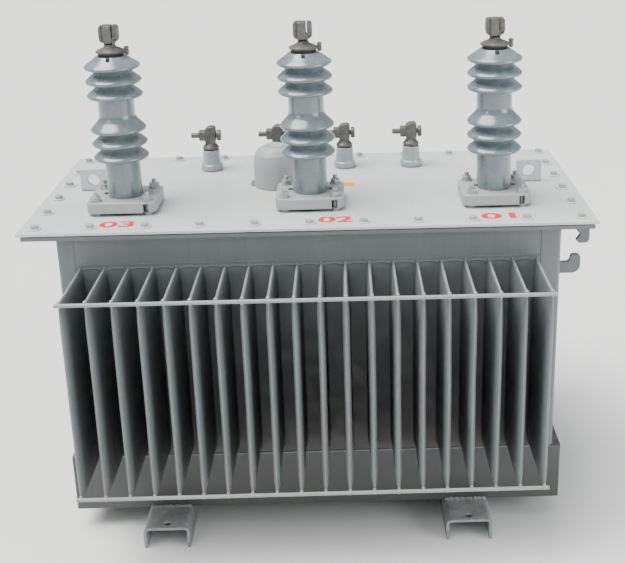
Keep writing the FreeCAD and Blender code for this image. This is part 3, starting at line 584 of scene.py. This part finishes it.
def fin(shape, x, way, wall, reach, low, high, sizes, seed):
    """One hollow fin: parallel sheet walls and a round nose, squeezed flat and
    welded at its foot and head, with the slight waves of thin sheet."""
    half = sizes.fin_width / 2
    fillet = ((3.6, -1.0), (1.8, 0.7), (0.6, 2.4), (0, 6))
    side = [(half + across * MM, out * MM) for across, out in fillet]
    side += [(half, reach * share) for share in (0.2, 0.36, 0.52, 0.66)]
    nose = [(half * math.sin(math.radians(a)), reach - sizes.fin_nose * (1 - math.cos(math.radians(a))))
            for a in (90, 76, 63, 51, 40, 30, 21, 13, 6)]
    outline = side + nose + [(0, reach)] + [(-across, out) for across, out in reversed(side + nose)]
    part = bmesh.new()
    face = part.faces.new([part.verts.new((across, way * out, low)) for across, out in outline])
    tall = high - low
    # slices up the fin, closer together towards the welded ends
    levels = [0.003, 0.008, 0.016, 0.028, 0.044, 0.064, 0.09, 0.12, 0.16, 0.21, 0.28, 0.36, 0.44, 0.52,
              0.6, 0.68, 0.75, 0.8, 0.84, 0.875, 0.905, 0.93, 0.95, 0.967, 0.98, 0.989, 0.995, 1.0]
    top = [face]
    at = 0.0
    for level in levels:
        grown = bmesh.ops.extrude_face_region(part, geom=top)["geom"]
        top = [g for g in grown if isinstance(g, bmesh.types.BMFace)]
        bmesh.ops.translate(part, verts=fresh_verts(grown), vec=(0, 0, (level - at) * tall))
        at = level
    pinch = sizes.fin_edge / sizes.fin_width
    lean = 1.0 * MM * noise.noise((seed * 3.7, 0.3, 0.9))
    for vert in part.verts:
        up = vert.co.z - low
        share = min(swell(up / sizes.fin_foot), swell((tall - up) / sizes.fin_head))
        out = abs(vert.co.y) / reach
        middle = math.sin(math.pi * min(1.0, max(0.0, up / tall)))
        wave = noise.noise((seed * 5.1, vert.co.y * 9, vert.co.z * 5)) * 0.9 * MM * middle
        vert.co.x = vert.co.x * (pinch + (1 - pinch) * share) + (wave + lean * middle) * out
    caps = [f for f in part.faces if len(f.verts) == len(outline)]
    round_edges(part, list({e for f in caps for e in f.edges}), 0.9 * MM)
    merge(shape, part, Matrix.Translation((x, wall, 0)))


def panel(which, way, sizes):
    """A folded wall: a sheet, its fins, the crimp lines between their heads,
    the welded edges in a lighter enamel as painted highlight, and the lumps of weld at the rods."""
    low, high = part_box(f"fin_panel_{which}")
    rod_low, rod_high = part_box(f"top_rod_{which}")
    foot_low, foot_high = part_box(f"bottom_rod_{which}")
    inner = high.y if way < 0 else low.y
    wall = inner + way * sizes.fin_sheet
    front = low.y if way < 0 else high.y
    reach = abs(front - wall)
    middle = (low.x + high.x) / 2
    first = middle - (sizes.fin_count - 1) * sizes.fin_pitch / 2
    fin_low, fin_high = foot_low.z + 1 * MM, rod_high.z
    shape = bmesh.new()
    block(shape, (low.x, min(wall, inner), low.z), (high.x, max(wall, inner), high.z))
    edges = bmesh.new()
    for index in range(sizes.fin_count):
        x = first + index * sizes.fin_pitch
        fin(shape, x, way, wall, reach, fin_low, fin_high, sizes, index + 40 * (way > 0))
        for z in (fin_low + 0.6 * MM, fin_high - 0.8 * MM):
            ribbed(edges, (x, wall, z), (x, front - way * 1.5 * MM, z), 2.0 * MM, 5 * MM, 0.1, sides=6)
        for z, lift in (((rod_low.z + rod_high.z) / 2, -1), ((foot_low.z + foot_high.z) / 2, 1)):
            blob(edges, (x, front - way * 1.5 * MM, z + lift * 3.5 * MM), (3.6 * MM, 4 * MM, 5 * MM))
            blob(edges, (x, front - way * 3 * MM, z - lift * 4.5 * MM), (4.2 * MM, 5 * MM, 3.2 * MM))
        blob(shape, (x, wall + way * 1 * MM, fin_high + 1 * MM), (5 * MM, 3 * MM, 3.5 * MM))
        if index < sizes.fin_count - 1:
            # the crimp between two fins: a shallow arch of rounded sheet
            rise = 6 * MM
            radius = ((sizes.fin_pitch / 2) ** 2 + rise ** 2) / (2 * rise)
            spread_angle = math.asin(sizes.fin_pitch / 2 / radius)
            arch = bmesh.new()
            outwards = Matrix.Translation((0, 0, radius)) @ Matrix.Rotation(math.pi / 2, 4, "Y")
            bmesh.ops.create_circle(arch, segments=6, radius=2.1 * MM,
                                    matrix=Matrix.Rotation(-spread_angle, 4, "Y") @ outwards)
            bmesh.ops.spin(arch, geom=arch.verts[:] + arch.edges[:], cent=(0, 0, 0), axis=(0, 1, 0),
                           angle=2 * spread_angle, steps=12, use_merge=False)
            foot = fin_high + 1.5 * MM - radius
            merge(shape, arch, Matrix.Translation((x + sizes.fin_pitch / 2, wall, foot)))
    seam = fin_high + 9 * MM
    ribbed(shape, (low.x, wall, seam), (high.x, wall, seam), 1.2 * MM, 9 * MM, 0.1, sides=6)
    keep(f"fin_row_{which}", shape, "fin_enamel_painted_shade", [f"fin_panel_{which}"])
    keep(f"fin_edges_{which}", edges, "edge_enamel_painted_highlight")


def high_bushing(which, sizes):
    """Ribbed porcelain in a cast clamp on four studs, with a capped terminal."""
    low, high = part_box(f"hv_porcelain_{which}")
    x, y = (low.x + high.x) / 2, (low.y + high.y) / 2
    flange_low, flange_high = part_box(f"hv_flange_{which}")
    base = flange_high.z
    body, shed = 37.2, sizes.shed_radius / MM
    seat, crown = high.z / MM, base / MM
    top = seat - crown

    def spot(across, out, up):
        """A place in millimetres, level ones from the bushing's axis."""
        return Vector((x + across * MM, y + out * MM, up * MM))

    # two groups of three sheds
    first_shed, next_group, next_shed = 88.5, 132, 30
    profile = [(0, -14, 0), (body - 0.6, -14, 0)]
    for group in (0, 1):
        start = first_shed + next_group * group
        profile.append((body + 0.6 if group else body - 0.4, start - 14, 0))
        for step in range(3):
            level = start + next_shed * step
            last = step == 2
            profile += [(body + 0.6, level - 3.5, 3), (shed - 5.5, level - 7.5, 3), (shed, level - 3.2, 3.4),
                        (shed - 2.5, level + 1.5, 5)]
            if last and group:
                profile += [(34.5, top - 3, 7), (31.0, top, 1.2)]
            elif last:
                profile.append((body + 0.6, level + 21, 9))
            else:
                profile.append((body + 1.5, level + 16, 6))
    profile.append((0, top, 0))
    pivot = Matrix.Translation((x, y, base))
    lean = pivot @ Matrix.Rotation(-sizes.bushing_lean, 4, "Y") @ pivot.inverted()
    shape = bmesh.new()
    turned(shape, profile, (x, y, base), 80)
    notch = bmesh.new()
    block(notch, spot(-4, -40, seat - 9), spot(4, -25, seat + 2))
    shape.transform(lean)
    notch.transform(lean)
    keep(f"hv_insulator_{which}", shape, "dipped_grey_glaze",
         [f"hv_porcelain_{which}"], angle=60, tool=notch)

    # the clamp: a casting with a keyway open below at the front and a pocket each side of the porcelain
    half = (flange_high.x - flange_low.x) / 2 / MM
    deep = (flange_high.y - flange_low.y) / 2 / MM
    foot = flange_low.z / MM
    lift = (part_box(f"hv_gasket_{which}")[1].z - flange_low.z) / MM
    shape = bmesh.new()
    centre = (x / MM, y / MM, 0)
    plate(shape, [(-half, -deep, 17), (half, -deep, 22), (half, deep, 17), (-half, deep, 17)], "Z",
          foot + lift, crown, centre, edge=2.4)
    tool = bmesh.new()
    block(tool, spot(46, -deep - 5, foot + lift - 2), spot(58, -deep + 26, crown - 3.5))
    for side in (-40, 40):
        disc(tool, 20, 8.5 * MM, spot(side, 10, crown - 20), spot(side, 10, crown + 5))
    keep(f"hv_clamp_{which}", shape, "cast_enamel_painted_shade", [f"hv_flange_{which}"], tool=tool)

    shape = bmesh.new()
    metal = bmesh.new()
    for across in (-53.5, 53.5):
        for out in (-47.5, 47.5):
            turn = noise.noise(spot(across, out, 0) * 50) * 3
            for made, sides, radius, start, end, edge, angle in (
                    (shape, 24, 8.5, foot, foot + lift + 1, 0.5, 0),
                    (metal, 16, 5, foot + 2, crown - 8, 0, 0),
                    (metal, 24, 12.5, crown, crown + 2.4, 0.5, 0),
                    (metal, 6, 10.8, crown + 2.2, crown + 11, 1.0, turn)):
                disc(made, sides, radius * MM, spot(across, out, start), spot(across, out, end),
                     edge * MM, angle)
            ribbed(metal, spot(across, out, crown + 10), spot(across, out, crown + 19), 5.2 * MM, 1.4 * MM,
                   0.06, even=True, sides=14)
    keep(f"hv_clamp_feet_{which}", shape, "cast_enamel_painted_shade")
    keep(f"hv_studs_{which}", metal, "zinc_plated_steel")

    # the terminal: gasket, chamfered cap, small clamp bolt and a slotted head
    shape = bmesh.new()
    turned(shape, [(0, 0, 0), (26, 0, 0), (26, 3.5, 0), (0, 3.5, 0)], (x, y, high.z), 48)
    shape.transform(lean)
    keep(f"hv_cap_gasket_{which}", shape, "bonded_cork")
    shape = bmesh.new()
    turned(shape, [(0, 3.2, 0), (24.5, 3.2, 0.8), (30.3, 8, 1.5), (30.3, 11, 1.6), (19.5, 15.8, 5),
                   (11.5, 19, 4), (10.6, 25, 2), (11, 32, 0), (0, 32, 0)], (x, y, high.z), 48)
    block(shape, spot(27, -6, seat + 4), spot(37.5, 6, seat + 12), 2.2 * MM)
    disc(shape, 16, 4.0 * MM, spot(34, -1, seat + 1), spot(34, -1, seat + 15), 1 * MM)
    disc(shape, 16, 5.0 * MM, spot(33.5, -1, seat + 13), spot(33.5, -1, seat + 19), 1.8 * MM)
    shape.transform(lean)
    keep(f"hv_cap_{which}", shape, "tinned_brass", angle=40)
    shape = bmesh.new()
    rise = seat + 25
    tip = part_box(f"hv_terminal_{which}")[1].z / MM
    plate(shape, [(-9.5, rise - 3, 1), (9.5, rise - 3, 1), (11, rise + 2.5, 1.5), (17, rise + 4, 5),
                  (19.8, rise + 10, 5), (19.8, tip - 1, 6), (-19.2, tip - 0.5, 7), (-19.8, rise + 10, 5),
                  (-17, rise + 4, 5), (-11, rise + 2.5, 1.5)], "Y", -11, 11, centre, edge=2.2)
    plate(shape, [(-10.5, rise + 1, 4), (6.6, rise + 1, 4), (7, tip - 1.5, 4), (-10, tip - 1.5, 4)], "Y",
          -15, 15, centre, edge=2.5)
    slot = bmesh.new()
    block(slot, spot(7, -20, rise + 13), spot(9.6, 20, tip + 4))
    block(slot, spot(-13.5, -20, rise + 9), spot(-10.5, -9.5, tip + 4))
    shape.transform(lean)
    slot.transform(lean)
    keep(f"hv_head_{which}", shape, "tinned_brass", [f"hv_terminal_{which}"],
         angle=40, tool=slot)


def low_bushing(which, sizes):
    """Short porcelain with a collar, and a palm with its clamp bolt across."""
    low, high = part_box(f"lv_porcelain_{which}")
    x, y = (low.x + high.x) / 2, (low.y + high.y) / 2
    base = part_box(f"lv_gasket_{which}")[1].z
    top = (high.z - base) / MM
    shape = bmesh.new()
    turned(shape, [(0, -2, 0), (25.0, -2, 0), (26.4, 1.5, 1.6), (26.4, 9, 2.4), (24.8, 12.2, 2.2),
                   (22.2, 13.2, 1.8), (21.9, 17, 2), (19.7, top - 1.5, 1.2), (18.6, top, 0.6), (0, top, 0)],
           (x, y, base), 56)
    keep(f"lv_insulator_{which}", shape, "dipped_pale_glaze", [f"lv_porcelain_{which}"])
    shape = bmesh.new()
    turned(shape, [(0, top, 0), (17.6, top, 0), (17.6, top + 2.4, 0), (0, top + 2.4, 0)], (x, y, base), 40)
    keep(f"lv_cap_gasket_{which}", shape, "bonded_cork")
    shape = bmesh.new()
    foot = top + 2.2
    turned(shape, [(0, foot, 0), (18.2, foot, 0.4), (19.4, foot + 1.8, 0.9), (19.0, foot + 4.6, 1.4),
                   (14.5, foot + 10, 5), (12.2, foot + 14, 3), (12.2, foot + 22, 0), (0, foot + 22, 0)],
           (x, y, base), 48)
    stem = base / MM + foot + 12
    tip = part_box(f"lv_terminal_{which}")[1].z
    bolt = Vector((x, y, tip - 22 * MM))
    crown = tip / MM
    centre = (x / MM, y / MM, 0)
    plate(shape, [(-11.5, stem - 2, 1), (11.5, stem - 2, 1), (11.5, stem + 6, 4), (13.4, stem + 11, 3),
                  (13.4, crown, 7), (-4, crown, 5), (-13.4, crown - 8, 4), (-13.4, stem + 11, 3),
                  (-11.5, stem + 6, 4)], "Y", -12, 12, centre, edge=2.4)
    left = Vector((-1, 0, 0))
    disc(shape, 6, 13.6 * MM, bolt + left * 13 * MM, bolt + left * 26 * MM, 1.1 * MM, math.radians(10))
    disc(shape, 28, 12.8 * MM, bolt + left * 12 * MM, bolt + left * 15.5 * MM, 0.5 * MM)
    ribbed(shape, bolt + left * 23 * MM, bolt + left * 45 * MM, 6.5 * MM, 1.6 * MM, 0.05, even=True, sides=20)
    disc(shape, 24, 6.2 * MM, bolt - left * 12 * MM, bolt - left * 19 * MM)
    disc(shape, 28, 13.0 * MM, bolt - left * 16 * MM, bolt - left * 25.4 * MM, 1.8 * MM)
    keep(f"lv_palm_{which}", shape, "tinned_brass", [f"lv_terminal_{which}"], angle=40)


# ------------------------------------------------------------ operators

class TRANSFORMER_OT_feet(bpy.types.Operator):
    """Finish the channel feet and weld them to the pan"""
    bl_idname = "transformer.feet"
    bl_label = "Feet"

    def execute(self, context):
        coat("foot_enamel", "base_channel_left", "base_channel_right")
        shape = bmesh.new()
        pan_low, pan_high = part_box("bottom_pan")
        for which in ("left", "right"):
            low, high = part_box(f"base_channel_{which}")
            for y in (pan_low.y - 1 * MM, pan_high.y + 1 * MM):
                ribbed(shape, (low.x + 4 * MM, y, high.z), (high.x - 4 * MM, y, high.z), 4.2 * MM, 3 * MM, 0.3)
        keep("feet_welds", shape, "foot_enamel")
        return {"FINISHED"}


class TRANSFORMER_OT_tank(bpy.types.Operator):
    """Finish the pan, the end plates and the rim, with their weld seams"""
    bl_idname = "transformer.tank"
    bl_label = "Tank"

    def execute(self, context):
        coat("wall_enamel_painted_shade", "tank_end_left", "tank_end_right", "rim_flange")
        coat("pan_enamel_painted_shade", "bottom_pan")
        coat("bonded_cork", "cover_gasket")
        shape = bmesh.new()
        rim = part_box("rim_flange")[0].z
        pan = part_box("bottom_pan")[1].z
        left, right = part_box("tank_end_left")[0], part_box("tank_end_right")[1]
        corner = 6 * MM
        for which, way in (("front", -1), ("back", 1)):
            low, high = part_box(f"fin_panel_{which}")
            wall = (high.y if way < 0 else low.y) + way * context.scene.transformer_sizes.fin_sheet
            for x in (low.x, high.x):
                ribbed(shape, (x, wall, pan), (x, wall, rim), 1.4 * MM, 7 * MM, 0.12, sides=6)
            for z, radius in ((rim, 2.6), (pan, 2.8)):
                ribbed(shape, (left.x + corner, wall, z), (right.x - corner, wall, z), radius * MM, 4 * MM,
                       0.2, sides=6)
        for x in (left.x, right.x):
            for z, radius in ((rim, 2.6), (pan, 3.4)):
                ribbed(shape, (x, left.y + corner, z), (x, right.y - corner, z), radius * MM, 4 * MM,
                       0.2, sides=6)
        keep("tank_seams", shape, "wall_enamel_painted_shade")
        return {"FINISHED"}


class TRANSFORMER_OT_fins(bpy.types.Operator):
    """Build both folded walls with their fins, and finish the rods"""
    bl_idname = "transformer.fins"
    bl_label = "Fins"

    def execute(self, context):
        sizes = context.scene.transformer_sizes
        panel("front", -1, sizes)
        panel("back", 1, sizes)
        coat("edge_enamel_painted_highlight", "top_rod_front", "top_rod_back", "bottom_rod_front", "bottom_rod_back")
        return {"FINISHED"}


class TRANSFORMER_OT_cover(bpy.types.Operator):
    """Build the cover with its bolts, washers and the tack welds under its long edges"""
    bl_idname = "transformer.cover"
    bl_label = "Cover"

    def execute(self, context):
        sizes = context.scene.transformer_sizes
        low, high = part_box("cover_plate")
        shape = bmesh.new()
        block(shape, low, high, 0.9 * MM)
        keep("cover", shape, "cover_enamel", ["cover_plate"])
        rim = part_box("rim_flange")[0].z
        xs = spaced(low.x + sizes.bolt_inset_x, high.x - sizes.bolt_inset_x, sizes.bolts_along)
        ys = spaced(low.y + sizes.bolt_inset_y, high.y - sizes.bolt_inset_y, sizes.bolts_across)
        places = [(x, y) for x in xs for y in (ys[0], ys[-1])]
        places += [(x, y) for x in (xs[0], xs[-1]) for y in ys[1:-1]]
        shape = bmesh.new()
        heads = bmesh.new()
        for x, y in places:
            tilt = Vector((noise.noise((x * 31, y * 17, 2)), noise.noise((x * 13, y * 29, 5)), 0)) * 0.5 * MM
            turn = noise.noise((x * 40, y * 40, 0)) * 4
            foot = Vector((x, y, high.z)) + tilt
            rise = Vector((0, 0, 1))
            disc(shape, 32, sizes.bolt_washer / 2, foot, foot + rise * 2.4 * MM, 0.7 * MM)
            disc(heads, 6, sizes.bolt_across / 2 / math.cos(math.radians(30)), foot + rise * 2 * MM,
                 foot + tilt + rise * 9.5 * MM, 1.2 * MM, turn)
            if abs(y) > abs(ys[-1]) - MM:
                blob(shape, (x, y + math.copysign(2 * MM, y), rim - 1 * MM), (7 * MM, 5 * MM, 5 * MM))
        keep("cover_washers", shape, "cover_enamel")
        keep("cover_bolts", heads, "bolt_enamel")
        return {"FINISHED"}


class TRANSFORMER_OT_high_bushings(bpy.types.Operator):
    """Build the three tall bushings"""
    bl_idname = "transformer.high_bushings"
    bl_label = "High-voltage bushings"

    def execute(self, context):
        for which in SIDES:
            coat("bonded_cork", f"hv_gasket_{which}")
            high_bushing(which, context.scene.transformer_sizes)
        return {"FINISHED"}


class TRANSFORMER_OT_low_bushings(bpy.types.Operator):
    """Build the four short bushings"""
    bl_idname = "transformer.low_bushings"
    bl_label = "Low-voltage bushings"

    def execute(self, context):
        for which in NUMBERS:
            coat("bonded_cork", f"lv_gasket_{which}")
            low_bushing(which, context.scene.transformer_sizes)
        return {"FINISHED"}


class TRANSFORMER_OT_bell(bpy.types.Operator):
    """Build the filler bell with its ears and small bolts"""
    bl_idname = "transformer.bell"
    bl_label = "Filler bell"

    def execute(self, context):
        low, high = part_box("filler_bell")
        x, y, foot = (low.x + high.x) / 2, (low.y + high.y) / 2, low.z
        shape = bmesh.new()
        turned(shape, [(0, 1, 0), (47.5, 1, 0.6), (49, 2.5, 0.8), (49, 63, 14), (45, 76, 10), (35, 89, 8),
                       (23.5, 92.5, 2), (23, 95, 1), (20, 95, 0.5), (19.5, 94.2, 0.5), (0, 94.2, 0)],
               (x, y, foot), 72)
        turned(shape, [(0, 0, 0), (46, 0, 0), (46, 1.5, 0), (0, 1.5, 0)], (x, y, foot), 48)
        metal = bmesh.new()
        for turn in (184, 304, 64):
            out = Vector((math.cos(math.radians(turn)), math.sin(math.radians(turn)), 0))
            at = Vector((x, y, foot)) + out * 52.5 * MM
            disc(shape, 24, 6 * MM, at, at + Vector((0, 0, 8 * MM)), 1.2 * MM)
            disc(shape, 24, 7 * MM, at - out * 4 * MM, at - out * 4 * MM + Vector((0, 0, 8 * MM)), 1.2 * MM)
            disc(metal, 6, 4.6 * MM, at + Vector((0, 0, 8 * MM)), at + Vector((0, 0, 12 * MM)), 0.6 * MM)
        keep("bell", shape, "cast_enamel_painted_shade", ["filler_bell"], angle=40)
        keep("bell_bolts", metal, "zinc_plated_steel")
        return {"FINISHED"}


class TRANSFORMER_OT_hooks(bpy.types.Operator):
    """Finish the lifting lugs, hooks and teeth, and weld them on"""
    bl_idname = "transformer.hooks"
    bl_label = "Lugs and hooks"

    def execute(self, context):
        coat("cover_enamel", "lifting_lug_left", "lifting_lug_right")
        coat("wall_enamel_painted_shade", "corner_hook_left", "corner_hook_right", "rim_tooth_left", "rim_tooth_right")
        shape = bmesh.new()
        for which in ("left", "right"):
            low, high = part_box(f"lifting_lug_{which}")
            for y in (low.y, high.y):
                ribbed(shape, (low.x, y, low.z), (high.x, y, low.z), 2.6 * MM, 3 * MM, 0.25, sides=6)
            low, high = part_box(f"corner_hook_{which}")
            x = low.x if which == "right" else high.x
            for y in (low.y, high.y):
                ribbed(shape, (x, y, low.z), (x, y, low.z + 25 * MM), 2.2 * MM, 3 * MM, 0.25, sides=6)
        keep("lug_welds", shape, "wall_enamel_painted_shade")
        return {"FINISHED"}


class TRANSFORMER_OT_marks(bpy.types.Operator):
    """Paint the plain numerals and lay the blank tag on the cover"""
    bl_idname = "transformer.marks"
    bl_label = "Numerals and tag"

    def execute(self, context):
        height = context.scene.transformer_sizes.numeral_height
        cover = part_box("cover_plate")[1].z
        width, front_line, lift = 72 * MM, -250 * MM, 0.12 * MM
        for which, text, x in (("left", "03", -433), ("centre", "02", 18), ("right", "01", 356)):
            font = bpy.data.curves.new(f"numeral_{which}", "FONT")
            font.body = text
            font.extrude = 0.1 * MM / height
            font.offset = 0.028
            lettering = bpy.data.objects.new("lettering", font)
            bpy.context.scene.collection.objects.link(lettering)
            held = bpy.data.meshes.new_from_object(
                lettering.evaluated_get(bpy.context.evaluated_depsgraph_get()))
            bpy.data.objects.remove(lettering)
            shape = bmesh.new()
            shape.from_mesh(held)
            bpy.data.meshes.remove(held)
            xs = [v.co.x for v in shape.verts]
            ys = [v.co.y for v in shape.verts]
            wide = width / (max(xs) - min(xs))
            tall = height / (max(ys) - min(ys))
            corner = (x * MM - min(xs) * wide, front_line - min(ys) * tall, cover + lift)
            shape.transform(Matrix.Translation(corner) @ Matrix.Diagonal((wide, tall, height, 1)))
            keep(f"numeral_{which}", shape, "stencil_paint")
        shape = bmesh.new()
        block(shape, (72 * MM, 0, cover), (98 * MM, 29 * MM, cover + 0.5 * MM), 0.2 * MM)
        keep("blank_tag", shape, "vinyl_tag")
        return {"FINISHED"}


class TRANSFORMER_OT_stage(bpy.types.Operator):
    """Lay the floor and set the lights and the camera"""
    bl_idname = "transformer.stage"
    bl_label = "Stage"

    def execute(self, context):
        scene = context.scene
        shape = bmesh.new()
        bmesh.ops.create_grid(shape, x_segments=2, y_segments=2, size=30)
        mesh = bpy.data.meshes.new("floor")
        shape.to_mesh(mesh)
        shape.free()
        mesh.materials.append(finish("pale_floor"))
        floor = bpy.data.objects.new("floor", mesh)
        scene.collection.objects.link(floor)

        def softbox(name, place, aim, size, power):
            light = bpy.data.lights.new(name, "AREA")
            light.shape = "RECTANGLE"
            light.size, light.size_y = size
            light.energy = power
            lamp = bpy.data.objects.new(name, light)
            lamp.location = place
            lamp.rotation_euler = (Vector(aim) - Vector(place)).to_track_quat("-Z", "Y").to_euler()
            scene.collection.objects.link(lamp)

        key = bpy.data.lights.new("key_soft", "SUN")
        key.energy = 6.2
        key.angle = math.radians(48)
        key.color = linear("#FFFEFA")
        lamp = bpy.data.objects.new("key_soft", key)
        lamp.rotation_euler = Vector((0.42, 0.08, -1.0)).to_track_quat("-Z", "Y").to_euler()
        scene.collection.objects.link(lamp)
        softbox("left_softbox", (-3.0, -2.4, 2.6), (0, 0, 0.7), (1.2, 1.2), 22)
        softbox("right_fill", (3.6, -2.2, 1.6), (0, 0, 0.5), (2.4, 2.0), 95)
        world = bpy.data.worlds.new("studio")
        world.use_nodes = True
        tree = world.node_tree
        height = add_node(tree, "SeparateXYZ", {0: add_node(tree, "TexCoord")}).outputs["Z"]
        back = tree.nodes["Background"]
        back.inputs["Color"].default_value = solid("#F7F9FB")
        paler = add_node(tree, "MapRange", {0: height, 2: 0.9, 3: 0.42, 4: 0.95})
        tree.links.new(paler.outputs[0], back.inputs["Strength"])
        scene.world = world

        # the camera stands in front, a little to the right and above the cover
        stand = (0.0781, -2.3170, 1.4289)
        yaw, pitch, roll = (math.radians(a) for a in (1.0454, -18.6915, -0.9665))
        ahead = Vector((math.sin(yaw) * math.cos(pitch), math.cos(yaw) * math.cos(pitch), math.sin(pitch)))
        right = Vector((math.cos(yaw), -math.sin(yaw), 0))
        up = right.cross(ahead)
        turned_right = right * math.cos(roll) + up * math.sin(roll)
        turned_up = up * math.cos(roll) - right * math.sin(roll)
        view = Matrix((turned_right, turned_up, -ahead)).transposed().to_4x4()
        lens = bpy.data.cameras.new("camera")
        lens.sensor_width = 36
        lens.lens = 61.33
        lens.shift_x, lens.shift_y = -0.08477, -0.10717
        lens.clip_end = 200
        camera = bpy.data.objects.new("camera", lens)
        camera.matrix_world = Matrix.Translation(stand) @ view
        scene.collection.objects.link(camera)
        scene.camera = camera
        return {"FINISHED"}


ORDER = (TRANSFORMER_OT_stage, TRANSFORMER_OT_feet, TRANSFORMER_OT_tank, TRANSFORMER_OT_fins,
         TRANSFORMER_OT_cover, TRANSFORMER_OT_high_bushings, TRANSFORMER_OT_low_bushings,
         TRANSFORMER_OT_bell, TRANSFORMER_OT_hooks, TRANSFORMER_OT_marks)


class TRANSFORMER_PT_panel(bpy.types.Panel):
    """Sizes, colours and one button for each group of pieces"""
    bl_idname = "TRANSFORMER_PT_panel"
    bl_label = "Power transformer"
    bl_space_type = "VIEW_3D"
    bl_region_type = "UI"
    bl_category = "Transformer"

    def draw(self, context):
        for group in (context.scene.transformer_sizes, context.scene.transformer_colours):
            box = self.layout.box()
            for name in group.bl_rna.properties.keys():
                if name not in ("rna_type", "name"):
                    box.prop(group, name)
        for kind in ORDER:
            self.layout.operator(kind.bl_idname)


CLASSES = (TransformerSizes, TransformerColours) + ORDER + (TRANSFORMER_PT_panel,)


def register():
    for kind in CLASSES:
        bpy.utils.register_class(kind)
    bpy.types.Scene.transformer_sizes = PointerProperty(type=TransformerSizes)
    bpy.types.Scene.transformer_colours = PointerProperty(type=TransformerColours)


def unregister():
    del bpy.types.Scene.transformer_colours
    del bpy.types.Scene.transformer_sizes
    for kind in reversed(CLASSES):
        bpy.utils.unregister_class(kind)


def main():
    register()
    for kind in ORDER:
        getattr(bpy.ops.transformer, kind.bl_idname.split(".")[1])()


if __name__ == "__main__":
    main()
